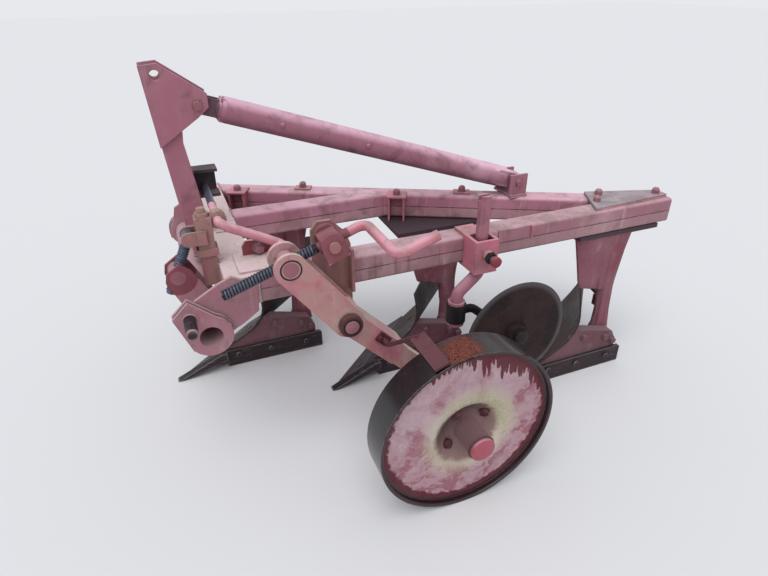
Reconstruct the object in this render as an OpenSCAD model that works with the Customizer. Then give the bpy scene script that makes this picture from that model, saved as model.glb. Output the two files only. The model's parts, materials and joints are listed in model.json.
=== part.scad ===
// Three-furrow mounted moldboard plough with depth wheel and disc coulter.
// Millimetres, +X to the rear, +Y to the right of the plough, +Z up, ground at 0.
// Inside the modules the middle of the hitch is at X 0, Y 0.

/* [Beams] */
// Height of the box section of each beam
beam_h = 105; // [90:1:120]
// Width of the box section of each beam
beam_w = 95; // [80:1:105]
// Corner radius of the box section
beam_r = 14; // [6:1:20]
// Underside of the beams above the ground
beam_z = 662; // [640:1:700]
// Sideways place of the side beam's middle
side_beam_y = -382; // [-400:1:-370]
// Rear end of the side beam
side_beam_end = 2000; // [1960:1:2060]
// Sideways place of the middle beam's middle
middle_beam_y = 150; // [120:1:180]

/* [Bodies] */
// Distance from one body to the next along the plough
pitch = 630; // [620:1:640]
// Sideways step from one body to the next
furrow = 330; // [324:1:336]
// Front tip of the first share along X
tip_x = -112; // [-130:1:-100]
// Front tip of the first share along Y
tip_y = 144; // [130:1:155]
// Sideways distance from the line of tips to the main beam
beam_offset = 534; // [520:1:545]
// Thickness of the flange plates under the beams
flange_t = 20; // [16:1:24]
// Thickness of a leg
leg_t = 45; // [36:1:50]
// Sideways place of a leg's near face from its share tip
leg_y = 92; // [88:1:96]
// Sideways place of a landside's near face from its share tip
land_y = 30; // [26:1:34]
// Thickness of a landside
land_t = 14; // [10:1:16]
// Height of a landside
land_h = 88; // [70:1:96]
// Rear end of a landside behind its share tip
land_end = 692; // [660:1:710]
// Plate thickness of a moldboard
board_t = 8; // [6:1:10]
// Height of a moldboard's top edge at its middle
board_z = 430; // [400:1:460]

/* [Headstock] */
// Front face of the cross box
head_x = 125; // [121:1:130]
// Depth of the cross box from front to rear
head_d = 110; // [104:1:120]
// Thickness of the cheek plates
cheek_t = 14; // [10:1:14]
// Outer face of each cheek plate from the middle
cheek_y = 441; // [439:1:442]
// Shaft axis along X
shaft_x = 54; // [50:1:56]
// Shaft axis height
shaft_z = 607; // [602:1:608]
// Outer radius of the cross shaft
shaft_r = 44.5; // [42:0.5:46]
// Wall of the cross shaft
shaft_wall = 8; // [6:1:10]
// Half the distance between the shoulders of the hitch pins
hitch_half = 482.5; // [481:0.5:486]
// Radius of the lower hitch pins
hitch_pin_r = 18.3; // [14:0.1:19]
// Length of the lower hitch pins past their shoulders
hitch_pin_l = 92; // [80:1:100]
// Link plates' thickness
link_t = 13; // [11:1:14]
// Crank of the hitch pins along X
crank_dx = -54; // [-58:1:-48]
// Crank of the hitch pins along Z
crank_dz = 77; // [70:1:82]
// Radial running gap of the round fits
run_gap = 0.05; // [0.02:0.01:0.1]

/* [Mast] */
// Thickness of a mast plate
mast_t = 15; // [10:1:18]
// Gap between the mast plates
mast_gap = 70; // [60:1:76]
// Top-link hole along X
top_x = 45; // [40:1:50]
// Top-link hole height
top_z = 1332; // [1325:1:1340]
// Radius of the top-link hole
top_r = 16; // [12:0.5:18]
// Radius of the brace pins
brace_pin_r = 15; // [12:1:16]
// Outer radius of the brace tube
brace_r = 44.5; // [38:0.5:46]

/* [Depth wheel] */
// Wheel radius
wheel_r = 315; // [300:1:320]
// Wheel width
wheel_w = 115; // [100:1:120]
// Near rim plane of the wheel along Y
wheel_y = -920; // [-930:1:-910]
// Wheel axis along X
wheel_x = 767; // [750:1:780]
// Rim thickness
rim_t = 12; // [8:1:14]
// Stub axle radius
axle_r = 20; // [18:1:24]
// Pivot of the wheel arm along X
pivot_x = 487; // [480:1:492]
// Pivot of the wheel arm height
pivot_z = 600; // [596:1:604]
// Radius of the pivot tube
pivot_r = 38; // [34:1:40]
// Thickness of the lever plates
lever_t = 15; // [10:1:18]
// Gap between the lever plates
lever_gap = 76; // [70:1:80]
// Middle plane of the lever and depth screw
lever_y = -513; // [-515:1:-511]
// Height of the box arm
arm_h = 84; // [74:1:90]

/* [Screws] */
// Radius of the depth screw and of the shaft screw
screw_r = 15; // [12:0.5:16]
// Gap between a screw and the nut on it
nut_gap = 2; // [2:0.5:3]
// Radius of the round nuts
nut_r = 27; // [25:1:29]
// Radius of the bent crank rods
rod_r = 16; // [12:0.5:18]
// Bend radius of the crank rods
rod_bend = 34; // [28:1:50]

/* [Coulter] */
// Radius of the disc
disc_r = 225; // [200:1:230]
// Thickness of the disc
disc_t = 6; // [4:1:8]
// Disc centre along X
disc_x = 1183; // [1178:1:1190]
// Disc centre height
disc_z = 365; // [355:1:375]
// Middle plane of the disc
disc_y = -545; // [-550:1:-540]
// Radius of the round shank
shank_r = 23; // [20:1:24]
// Shank axis along X
shank_x = 1032; // [1026:1:1038]
// Shank axis along Y
shank_y = -474; // [-478:1:-470]

/* [Hidden] */
$fn = 48;
beam_top = beam_z + beam_h;
beam_angle = atan(furrow / pitch);
side_near = side_beam_y - beam_w / 2;
side_far = side_beam_y + beam_w / 2;
head_rear = head_x + head_d;
main_front_y = tip_y + beam_offset - tan(beam_angle) * (head_rear - tip_x);
main_rear_x = tip_x + (tip_y + beam_offset - side_far) / tan(beam_angle);
// Names of the frame's origin, the middle of the footprint
origin_x = 970;
origin_y = -135;
body_k = [0, 1, 2];

// Every named piece of the plough

function unit(v) = v / norm(v);

// Moves a piece from the hitch frame to the frame of the whole plough
module place() {
    translate([-origin_x, -origin_y, 0]) children();
}

// Rounded rectangle, centred across, standing on 0
module round_rect(w, h, r) {
    translate([-w / 2 + r, 0]) square([w - 2 * r, h]);
    translate([-w / 2, r]) square([w, h - 2 * r]);
    for (x = [-w / 2 + r, w / 2 - r], y = [r, h - r]) translate([x, y]) circle(r);
}

// Box-section beam along +X from the origin, standing on 0
module beam(l) {
    rotate([90, 0, 90]) linear_extrude(l) round_rect(beam_w, beam_h, beam_r);
}

// Extrudes an XZ outline from y0 to y1
module slab(y0, y1) {
    translate([0, y1, 0]) rotate([90, 0, 0]) linear_extrude(y1 - y0) children();
}

// Round bar along Y between y0 and y1 with its axis at x, z
module bar_y(x, z, y0, y1, r) {
    translate([x, y1, z]) rotate([90, 0, 0]) cylinder(r = r, h = y1 - y0);
}

// Round bar between two points
module rod(a, b, r) {
    d = b - a;
    l = norm(d);
    translate(a) rotate([0, acos(d[2] / l), atan2(d[1], d[0])]) cylinder(r = r, h = l);
}

// Points of a bend of radius br at corner b between the ways to a and c
function bend_pts(a, b, c, br, n) =
    let (u = unit(a - b), v = unit(c - b), half = acos(u * v) / 2, w = unit(u + v),
        o = b + w * br / sin(half), y = unit(u - w * (u * w)), sweep = 90 - half)
    [for (i = [0:n]) let (t = sweep - 2 * sweep * i / n) o + br * (y * sin(t) - w * cos(t))];

// Cross-sections of a bent bar: each is the one before it, carried along to the next mitre plane
function rings(q, d, i, last) =
    let (m = i < len(d) ? unit(d[i - 1] + d[i]) : d[i - 1],
        now = [for (p = last) p + d[i - 1] * (((q[i] - p) * m) / (d[i - 1] * m))])
    i == len(q) - 1 ? [now] : concat([now], rings(q, d, i + 1, now));

// Bent round bar with a run of short straight lengths round each corner
module bent_rod(p, r, br, n = 5, sides = 24) {
    q = concat([p[0]], [for (i = [1:len(p) - 2]) each bend_pts(p[i - 1], p[i], p[i + 1], br, n)],
        [p[len(p) - 1]]);
    d = [for (i = [0:len(q) - 2]) unit(q[i + 1] - q[i])];
    u = unit(cross(d[0], abs(d[0][1]) < 0.9 ? [0, 1, 0] : [0, 0, 1]));
    v = cross(u, d[0]);
    first = [for (k = [0:sides - 1]) let (t = 360 * k / sides) q[0] + r * (u * cos(t) + v * sin(t))];
    loft(concat([first], rings(q, d, 1, first)));
}

// Places children on a point of the main beam's middle line at height 0, turned along it
module on_main(x) {
    translate([x, tip_y + beam_offset - tan(beam_angle) * (x - tip_x), 0])
        rotate([0, 0, -beam_angle]) children();
}

// The main beam's full length before it is cut
module main_bar() {
    on_main(head_rear) translate([-beam_w, 0, beam_z])
        beam((main_rear_x - head_rear) / cos(beam_angle) + 2 * beam_w);
}

module main_beam() {
    color([0.72, 0.42, 0.45]) intersection() {
        main_bar();
        translate([head_rear, side_far, 0]) cube([2200, 2000, 1000]);
    }
}

module side_beam() {
    color([0.74, 0.45, 0.48]) translate([head_rear, side_beam_y, beam_z])
        beam(side_beam_end - head_rear);
}

module middle_beam() {
    color([0.73, 0.45, 0.47]) difference() {
        translate([head_rear, middle_beam_y, beam_z]) beam(900);
        on_main(head_rear) translate([-500, -beam_w / 2, 0]) cube([2600, 900, 1000]);
    }
}

// Plate on top where the main beam meets the side beam
gusset_t = 12;
gusset_x0 = main_rear_x - 221;

module rear_gusset() {
    color([0.62, 0.52, 0.53]) translate([0, 0, beam_top]) linear_extrude(gusset_t)
        polygon([[gusset_x0, side_near + 12], [side_beam_end - 4, side_near + 30],
            [side_beam_end - 4, side_far - 6],
            [gusset_x0 + 90, tip_y + beam_offset - tan(beam_angle) * (gusset_x0 + 90 - tip_x) + 30]]);
}

// Clamps that hold the legs of the first bodies to the main beam: body and place along it
clamp_w = 72;
clamp_t = 8;
clamp_d = 46;
clamps = [[0, 440], [1, 440]];
top_plates = [[0, 690], [1, 690]];

module leg_clamps() {
    color([0.70, 0.42, 0.45]) difference() {
        for (c = clamps) on_main(tip_x + c[0] * pitch + c[1])
            translate([-clamp_w / 2, -beam_w / 2 - clamp_d, beam_z]) {
                for (x = [0, clamp_w - clamp_t]) translate([x, 0, 0]) cube([clamp_t, clamp_d, beam_h]);
                translate([-6, -4, beam_h]) cube([clamp_w + 12, clamp_d + 36, clamp_t]);
            }
        translate([head_rear, middle_beam_y - beam_w / 2, beam_z]) cube([900, beam_w, beam_h]);
    }
    color([0.70, 0.42, 0.45]) for (c = top_plates) on_main(tip_x + c[0] * pitch + c[1])
        translate([-clamp_w / 2, -clamp_w * 0.3, beam_top]) cube([clamp_w, clamp_w * 0.7, clamp_t]);
}

// Cross box of the headstock that the three beams start from, with its corner plate and stay lug
corner_t = 10;
lug_y = -292;
lug_h = 64;

module headstock_box() {
    color([0.72, 0.62, 0.58]) {
        translate([head_x, -cheek_y + cheek_t, beam_z])
            cube([head_d, cheek_y - cheek_t + main_front_y + beam_w * 0.62, beam_h]);
        translate([0, 0, beam_top]) linear_extrude(corner_t)
            polygon([[head_x + 50, side_near + 22], [head_rear + 96, side_near + 22],
                [head_rear + 96, side_far + 30], [head_rear, lug_y + 28], [head_x + 50, lug_y + 28]]);
        slab(lug_y, lug_y + 12) polygon([[head_rear - 28, beam_top + 1], [head_rear - 28, beam_top + lug_h - 18],
            [head_rear - 14, beam_top + lug_h], [head_rear + 54, beam_top + lug_h - 4],
            [head_rear + 80, beam_top + lug_h - 30], [head_rear + 80, beam_top + 1]]);
    }
}

// Outline of a cheek plate round the shaft
cheek_boss = 66;

module cheek_outline() {
    difference() {
        union() {
            polygon([[shaft_x - 31, beam_z + 58], [shaft_x + 46, beam_top - 3], [head_x + 20, beam_top + 16],
                [head_rear - 12, beam_top - 29], [head_rear - 17, beam_z - 19], [shaft_x + 110, beam_z - 56],
                [shaft_x + 74, shaft_z - 19], [shaft_x + 20, shaft_z - 50], [shaft_x - 50, shaft_z + 30]]);
            translate([shaft_x, shaft_z]) circle(cheek_boss);
        }
        translate([shaft_x, shaft_z]) circle(shaft_r + run_gap);
    }
}

module headstock_cheeks() {
    color([0.74, 0.55, 0.56]) {
        slab(-cheek_y, -cheek_y + cheek_t) cheek_outline();
        difference() {
            slab(cheek_y - cheek_t, cheek_y) cheek_outline();
            translate([head_x, 0, beam_z]) cube([head_d, 1000, beam_h]);
        }
    }
}

// Square post on the front of the cross box, with the lugs for the shaft screw
post_y = -270;
post_w = 50;
post_x = 72;
post_top = 930;
head_pin_x = 46;
head_pin_z = 868;
head_pin_r = 10;
lug_t = 10;
post_band_z = 800;
crank_a_x = 145;
crank_a_z = 916;

module headstock_post() {
    color([0.72, 0.50, 0.50]) {
        difference() {
            union() {
                translate([post_x, post_y - post_w / 2, beam_z + 30])
                    cube([head_x - post_x, post_w, post_top - beam_z - 30]);
                for (s = [-1, 1]) translate([0, post_y + s * (post_w / 2 + lug_t / 2), 0]) slab(-lug_t / 2, lug_t / 2) {
                    translate([head_pin_x, head_pin_z - 24]) square([post_x + 30 - head_pin_x, 48]);
                    translate([head_pin_x, head_pin_z]) circle(24);
                }
                translate([post_x - 8, post_y - post_w / 2 - 8, post_band_z]) cube([head_x - post_x + 16, post_w + 16, 24]);
                bar_y(crank_a_x, crank_a_z, post_y - 17, post_y + 17, 29);
                translate([head_x - 10, post_y - 14, crank_a_z - 20]) cube([14, 28, 34]);
            }
            bar_y(crank_a_x, crank_a_z, post_y - 100, post_y + 100, rod_r + 0.5);
        }
        bar_y(head_pin_x, head_pin_z, post_y - post_w / 2 - lug_t, post_y + post_w / 2 + lug_t, head_pin_r);
        translate([post_x + 26, post_y, post_top]) cylinder(r = 22, h = 14);
        translate([post_x + 26, post_y, post_top + 14]) cylinder(r = 14, h = 16);
    }
}

// Kite-shaped plates that hold the top link and the brace
brace_x = 158;
brace_z = 1231;
mast_outline = [[-1, 1362], [56, 1367], [195, 1266], [194, 1222], [157, 1192], [19, 1102]];

module mast_plates() {
    color([0.70, 0.44, 0.48]) for (s = [-1, 1])
        translate([0, s * (mast_gap + mast_t) / 2, 0]) difference() {
            slab(-mast_t / 2, mast_t / 2) polygon(mast_outline);
            bar_y(top_x, top_z, -mast_t, mast_t, top_r);
            bar_y(brace_x, brace_z, -mast_t, mast_t, brace_pin_r);
        }
}

// Leaning post between the mast plates, down to the cross box
post_wide = 72;
mast_foot_x = 60;
mast_head_x = 22;

module mast_post() {
    color([0.66, 0.32, 0.36]) difference() {
        slab(-mast_gap / 2, mast_gap / 2) polygon([
            [mast_foot_x, beam_z + 20], [head_x, beam_z + 20], [head_x, beam_top],
            [mast_foot_x + post_wide, beam_top + 40], [mast_head_x + post_wide, 1110],
            [mast_head_x + post_wide + 8, 1180], [mast_head_x + 10, 1240], [mast_head_x, 1110]]);
        bar_y(brace_x, brace_z, -mast_gap, mast_gap, 60);
    }
}

// Bracket on the mast post that takes the far end of the sideways crank
bracket_z = 884;
bracket_x = 92;
bracket_h = 106;

module crank_bracket() {
    color([0.24, 0.22, 0.24]) difference() {
        translate([bracket_x, mast_gap / 2, bracket_z]) cube([104, 66, bracket_h]);
        translate([bracket_x + 14, mast_gap / 2 - 1, bracket_z + 12]) cube([104, 68, bracket_h - 24]);
    }
}

crank_a_y = -326;
crank_a_path = [[crank_a_x, post_y + 36, crank_a_z], [crank_a_x, crank_a_y, crank_a_z], [342, crank_a_y, 812],
    [342, -452, 812]];

module lateral_crank() {
    color([0.30, 0.30, 0.35]) bar_y(crank_a_x, crank_a_z, post_y + 30, mast_gap / 2 + 40, rod_r - 3);
    color([0.76, 0.48, 0.52]) bent_rod(crank_a_path, rod_r, rod_bend);
}

// Long tube from the mast to the main beam, with a strap fork at each end
brace_b = [1408, -90, 828];
brace_a = [brace_x, 0, brace_z];
brace_v = brace_b - brace_a;
brace_l = norm(brace_v);
fork_front = 84;
fork_rear = 52;
brace_wall = 7;

// Children are placed on the brace's own axis, X along it, Y level
module on_brace() {
    translate(brace_a) rotate([0, 0, atan2(brace_v[1], brace_v[0])])
        rotate([0, asin(-brace_v[2] / brace_l), 0]) children();
}

module brace_tube() {
    color([0.80, 0.52, 0.60]) difference() {
        union() {
            on_brace() {
                difference() {
                    translate([fork_front, 0, 0]) rotate([0, 90, 0])
                        cylinder(r = brace_r, h = brace_l - fork_front - fork_rear);
                    translate([brace_l - fork_rear - 60, 0, 0]) rotate([0, 90, 0])
                        cylinder(r = brace_r - brace_wall, h = 80);
                }
                for (s = [-1, 1]) translate([brace_l - fork_rear - 40, s * 33 - 4, -32]) cube([fork_rear + 64, 8, 64]);
                translate([brace_l - fork_rear - 20, -37, 24]) cube([fork_rear + 44, 74, 8]);
            }
            translate([brace_x, 0, brace_z]) rotate([0, 18, 0]) {
                translate([0, -28, -30]) cube([fork_front + 4, 10, 60]);
                translate([0, 18, -30]) cube([fork_front + 4, 10, 60]);
                for (s = [-28, 18]) translate([0, s + 10, 0]) rotate([90, 0, 0]) cylinder(r = 30, h = 10);
                translate([fork_front - 8, -34, -38]) cube([12, 68, 76]);
            }
        }
        bar_y(brace_x, brace_z, -60, 60, brace_pin_r);
        bar_y(brace_b[0], brace_b[2], brace_b[1] - 80, brace_b[1] + 80, brace_pin_r);
    }
}

module brace_pins() {
    color([0.74, 0.58, 0.60]) {
        bar_y(brace_x, brace_z, -mast_gap / 2 - mast_t - 14, mast_gap / 2 + mast_t + 14, brace_pin_r);
        bar_y(brace_b[0], brace_b[2], brace_b[1] - 66, brace_b[1] + 66, brace_pin_r);
    }
}

// Two upright plates on the main beam that hold the brace's rear pin
bracket_w = 84;

module brace_bracket() {
    color([0.70, 0.44, 0.50]) difference() {
        union() {
            for (s = [-1, 1]) translate([brace_b[0] - bracket_w / 2, brace_b[1] + s * 52 - 5, beam_top + 10])
                cube([bracket_w, 10, brace_b[2] - beam_top + 26]);
            translate([brace_b[0] - bracket_w / 2, brace_b[1] - 66, beam_top]) cube([bracket_w, 132, 10]);
        }
        bar_y(brace_b[0], brace_b[2], brace_b[1] - 80, brace_b[1] + 80, brace_pin_r);
    }
}

// Cross shaft with its cranked hitch pins and the twin-plate arm
arm_gap = 64;
arm_t = 12;
tilt_x = -10;
tilt_z = 748;

module link_outline() {
    difference() {
        union() {
            circle(70);
            polygon([[-104, 84], [-52, 134], [68, 28], [20, -66], [-60, -40]]);
        }
        circle(shaft_r - shaft_wall);
    }
}

module shaft_end() {
    for (y = [-hitch_half, -hitch_half + 23]) translate([shaft_x, 0, shaft_z]) slab(y, y + link_t) link_outline();
    bar_y(shaft_x + crank_dx, shaft_z + crank_dz, -hitch_half - hitch_pin_l, -hitch_half + 23 + link_t, hitch_pin_r);
}

module cross_shaft() {
    color([0.70, 0.40, 0.42]) {
        difference() {
            bar_y(shaft_x, shaft_z, -hitch_half, hitch_half, shaft_r);
            bar_y(shaft_x, shaft_z, -hitch_half - 1, hitch_half + 1, shaft_r - shaft_wall);
        }
        shaft_end();
        translate([2 * shaft_x, 0, 2 * shaft_z]) rotate([0, 180, 0]) mirror([0, 1, 0]) shaft_end();
        difference() {
            for (s = [-1, 1]) translate([0, post_y + s * (arm_gap + arm_t) / 2, 0]) slab(-arm_t / 2, arm_t / 2) {
                translate([shaft_x, shaft_z]) circle(58);
                polygon([[shaft_x + 40, shaft_z + 42], [tilt_x + 44, tilt_z + 18], [tilt_x + 10, tilt_z + 46],
                    [tilt_x - 34, tilt_z + 16], [tilt_x - 40, tilt_z - 14], [shaft_x - 56, shaft_z + 16]]);
            }
            bar_y(shaft_x, shaft_z, -500, 0, shaft_r - shaft_wall);
            bar_y(tilt_x, tilt_z, -500, 0, nut_r - 2 + run_gap);
        }
    }
}

// Round nut across the arm, drilled for the screw with room
module round_nut(x, z, y, gap, t, ang) {
    difference() {
        union() {
            bar_y(x, z, y - gap / 2 + 3, y + gap / 2 - 3, nut_r + 2);
            bar_y(x, z, y - gap / 2 - t, y + gap / 2 + t, nut_r - 2);
        }
        translate([x, y, z]) rotate([0, ang, 0]) translate([0, 0, -60]) cylinder(r = screw_r + nut_gap, h = 120);
    }
}

tilt_dx = tilt_x - head_pin_x;
tilt_dz = tilt_z - head_pin_z;
tilt_len = 210;
tilt_dir = [tilt_dx, 0, tilt_dz] / norm([tilt_dx, tilt_dz]);

module tilt_nut() {
    color([0.55, 0.28, 0.30]) round_nut(tilt_x, tilt_z, post_y, arm_gap, arm_t, atan2(tilt_dx, tilt_dz));
}

module tilt_spindle() {
    color([0.25, 0.27, 0.33]) {
        h = [head_pin_x, post_y, head_pin_z];
        difference() {
            union() {
                rod(h, h + tilt_dir * tilt_len, screw_r);
                bar_y(head_pin_x, head_pin_z, post_y - 20, post_y + 20, 21);
            }
            bar_y(head_pin_x, head_pin_z, post_y - 40, post_y + 40, head_pin_r + run_gap);
        }
    }
}

// Bracket on the side beam for the wheel arm's pivot and the depth screw's bearing
depth_x = 452;
depth_z = 882;
nut_x = 311;
nut_z = 833;
bearing_r = 18;
bearing_w = 60;
plate_t = 12;

module depth_bracket() {
    y0 = side_near - plate_t;
    y1 = side_far + plate_t;
    color([0.68, 0.42, 0.44]) {
        slab(y0, side_near) {
            polygon([[pivot_x - 56, beam_z - 8], [depth_x - 42, beam_top - 6], [depth_x - 42, depth_z + 12],
                [depth_x - 20, depth_z + 40], [depth_x + 26, depth_z + 40], [pivot_x + 40, depth_z - 10],
                [pivot_x + 56, beam_top + 60], [pivot_x + 56, pivot_z - 4], [pivot_x - 30, pivot_z - 30]]);
            translate([pivot_x, pivot_z]) circle(56);
        }
        slab(side_far, y1) {
            polygon([[pivot_x - 60, beam_z], [pivot_x - 60, beam_top - 12], [pivot_x + 56, beam_top - 12],
                [pivot_x + 56, pivot_z], [pivot_x - 40, pivot_z]]);
            translate([pivot_x, pivot_z]) circle(56);
        }
        translate([pivot_x + 46, y0 - 34, pivot_z + 60]) cube([10, 34, beam_top - pivot_z - 10]);
        bar_y(pivot_x, pivot_z, y0, y1, pivot_r + 2);
        bar_y(pivot_x, pivot_z, lever_y - lever_gap / 2 - lever_t - 24, y1 + 6, pivot_r - 8);
        bar_y(depth_x, depth_z, lever_y - 58, y0, bearing_r);
    }
}

depth_dir = [nut_x - depth_x, 0, nut_z - depth_z] / norm([nut_x - depth_x, nut_z - depth_z]);
depth_len = 368;
crank_b_out = 256;
crank_b_back = 126;
crank_b_grip = 132;
bearing_cheek = 38;

module depth_screw() {
    c = [depth_x, lever_y, depth_z];
    e = c - depth_dir * crank_b_back;
    g = e + [0, -crank_b_out, 0];
    tilt = atan2(-depth_dir[2], -depth_dir[0]);
    difference() {
        union() {
            color([0.25, 0.27, 0.33]) rod(c + depth_dir * 30, c + depth_dir * depth_len, screw_r);
            color([0.72, 0.50, 0.52]) translate(c) rotate([0, -tilt, 0]) {
                for (y = [-47, 33]) slab(y, y + 14) {
                    translate([0, 6]) circle(bearing_cheek);
                    translate([-bearing_cheek, -50]) square([2 * bearing_cheek, 56]);
                }
                translate([-31, -34, -42]) cube([62, 68, 72]);
            }
            color([0.76, 0.48, 0.52]) bent_rod([c - depth_dir * 20, e, g, g - depth_dir * crank_b_grip],
                rod_r, rod_bend);
        }
        bar_y(depth_x, depth_z, lever_y - 90, lever_y + 90, bearing_r + run_gap);
    }
}

module depth_nut() {
    color([0.62, 0.40, 0.42]) round_nut(nut_x, nut_z, lever_y, lever_gap, lever_t,
        atan2(depth_dir[0], depth_dir[2]));
}

// Wheel arm: two lever plates above the pivot and a box arm below it
wheel_z = wheel_r;
arm_angle = atan2(pivot_z - wheel_z, wheel_x - pivot_x);
arm_len = norm([wheel_x - pivot_x, pivot_z - wheel_z]);
lever_top_r = 52;
arm_box_l = 262;
end_t = 44;

module lever_outline() {
    translate([nut_x, nut_z]) circle(lever_top_r);
    translate([pivot_x, pivot_z]) circle(54);
    polygon([[nut_x - 40, nut_z - 33], [nut_x + 38, nut_z + 35], [pivot_x + 48, pivot_z + 24],
        [pivot_x - 42, pivot_z - 34]]);
}

module wheel_arm() {
    y0 = lever_y - lever_gap / 2 - lever_t;
    y1 = lever_y + lever_gap / 2 + lever_t;
    color([0.74, 0.55, 0.55]) difference() {
        union() {
            slab(y0, y0 + lever_t) lever_outline();
            slab(y1 - lever_t, y1) lever_outline();
            translate([pivot_x, y0, pivot_z]) rotate([0, arm_angle, 0]) {
                translate([0, 0, -arm_h / 2]) cube([arm_box_l, y1 - y0, arm_h]);
                translate([arm_box_l - 1, 0, -arm_h / 2 + 4]) cube([arm_len - arm_box_l, end_t, arm_h - 8]);
            }
            bar_y(pivot_x, pivot_z, y0, side_near - plate_t - 5.5, 54);
            bar_y(wheel_x, wheel_z, y0 - 6, y0 + end_t, 42);
        }
        bar_y(pivot_x, pivot_z, y0 - 100, y1 + 100, pivot_r - 8 + run_gap);
        bar_y(nut_x, nut_z, y0 - 10, y1 + 10, nut_r - 2 + run_gap);
    }
    color([0.35, 0.33, 0.34]) bar_y(wheel_x, wheel_z, wheel_y - hub_out, y0 - 6, axle_r);
}

// Bar from the arm and the blade that lies over the tread
blade_gap = 6;
blade_t = 8;
blade_w = 52;
blade_angle = -21;
blade_y = -745;

module wheel_scraper() {
    y0 = lever_y - lever_gap / 2 - lever_t;
    top = [wheel_x + (wheel_r + 16) * sin(blade_angle), blade_y - 12, wheel_z + (wheel_r + 16) * cos(blade_angle)];
    foot = [pivot_x + 119, y0, pivot_z - 93];
    color([0.45, 0.25, 0.24]) {
        translate([foot[0], y0 - 8, foot[2]]) rotate([0, arm_angle, 0]) translate([-26, 0, -18]) cube([52, 8, 36]);
        bent_rod([foot + [0, -4, 0], foot + [0, -44, 0], top], 8, 24, 4, 16);
        translate([wheel_x, blade_y, wheel_z]) rotate([0, blade_angle, 0])
            translate([-blade_w / 2, wheel_y - blade_y + 4, wheel_r + blade_gap])
                cube([blade_w, blade_y - wheel_y - 4, blade_t]);
    }
}

// Dished wheel turned about its own axis: radius, depth behind the near rim plane
hub_r = 43;
hub_out = 66;
web_t = 14;
wheel_profile = [
    [axle_r + run_gap, -hub_out], [hub_r, -hub_out], [hub_r, 40], [72, 44], [118, 14], [150, 7],
    [wheel_r - rim_t - 14, 24], [wheel_r - rim_t, 20], [wheel_r - rim_t, 4], [wheel_r - rim_t + 4, 0], [wheel_r, 0],
    [wheel_r, wheel_w], [wheel_r - rim_t, wheel_w], [wheel_r - rim_t, 22 + web_t], [wheel_r - rim_t - 14, 24 + web_t],
    [150, 7 + web_t], [118, 14 + web_t], [76, 44 + web_t], [hub_r + 11, 44 + web_t], [hub_r + 11, wheel_w + 60],
    [axle_r + run_gap, wheel_w + 60]
];

module wheel() {
    color([0.70, 0.55, 0.55]) translate([wheel_x, wheel_y, wheel_z]) rotate([-90, 0, 0])
        rotate_extrude($fn = 96) polygon(wheel_profile);
}

module hub_cap() {
    color([0.62, 0.20, 0.24]) translate([wheel_x, wheel_y - hub_out - 10, wheel_z]) rotate([-90, 0, 0])
        cylinder(r = hub_r - 1, h = 10);
}

// Clamp on the side beam: a square sleeve round the shank and a strap above and below the beam
clamp_wall = 12;
sleeve_x0 = -47;
sleeve_x1 = 47;
sleeve_y0 = -44;
strap_t = 12;

module coulter_clamp() {
    color([0.74, 0.50, 0.54]) {
        difference() {
            translate([shank_x + sleeve_x0, shank_y + sleeve_y0, beam_z - strap_t])
                cube([sleeve_x1 - sleeve_x0, side_near - shank_y - sleeve_y0, beam_h + 2 * strap_t]);
            translate([shank_x + sleeve_x0 + clamp_wall, shank_y + sleeve_y0 + clamp_wall, beam_z - strap_t - 1])
                cube([sleeve_x1 - sleeve_x0 - 2 * clamp_wall, side_near - shank_y - sleeve_y0 - 2 * clamp_wall,
                    beam_h + 2 * strap_t + 2]);
        }
        for (z = [beam_z - strap_t, beam_top]) translate([shank_x + sleeve_x0, side_near - 1, z])
            cube([sleeve_x1 - sleeve_x0 - 16, beam_w * 0.8, strap_t]);
        for (x = [-1, 1], z = [beam_z + 14, beam_top - 24]) translate([shank_x + x * 29 - 6,
            shank_y - shank_r - 9, z]) cube([12, 2 * shank_r + 18, 10]);
        bar_y(shank_x, beam_z + 62, shank_y + sleeve_y0 - 20, shank_y + sleeve_y0 + 1, 20);
        bar_y(shank_x, beam_z + 62, shank_y + sleeve_y0 - 1, shank_y - shank_r, 9);
    }
}

shank_top = 936;
stub_x = 945;
stub_z = 440;
shank_bend = 70;
collar_h = 74;
shank_path = [[shank_x, shank_y, shank_top], [shank_x, shank_y, 634], [stub_x, shank_y, 560],
    [stub_x, shank_y, stub_z]];
swivel_lo = -14;
swivel_hi = 2;

module coulter_shank() {
    color([0.72, 0.46, 0.48]) difference() {
        union() {
            bent_rod(shank_path, shank_r, 46);
            translate([stub_x, shank_y, stub_z + 4 + collar_h + 1]) cylinder(r = shank_r + 10, h = 10);
            translate([stub_x, shank_y, stub_z - 12]) cylinder(r = shank_r + 10, h = 12);
        }
        translate([shank_x - 40, shank_y - 6, shank_top - 16]) cube([80, 12, 20]);
    }
}

coulter_arm_y = 46;

module coulter_arm() {
    color([0.55, 0.35, 0.36]) {
        difference() {
            union() {
                translate([stub_x, shank_y, stub_z + 3]) cylinder(r = shank_r + 15, h = collar_h);
                bent_rod([[stub_x + 26, shank_y, stub_z + 42], [stub_x + 70, shank_y, stub_z + 42],
                    [stub_x + 130, disc_y + coulter_arm_y, stub_z - 4],
                    [disc_x, disc_y + coulter_arm_y, disc_z]], 17, 36);
            }
            translate([stub_x, shank_y, 0]) cylinder(r = shank_r + run_gap, h = 1200);
        }
        bar_y(disc_x, disc_z, disc_y - 40, disc_y + coulter_arm_y + 20, 16);
        bar_y(disc_x, disc_z, disc_y + 26, disc_y + coulter_arm_y + 20, 26);
    }
}

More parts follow.
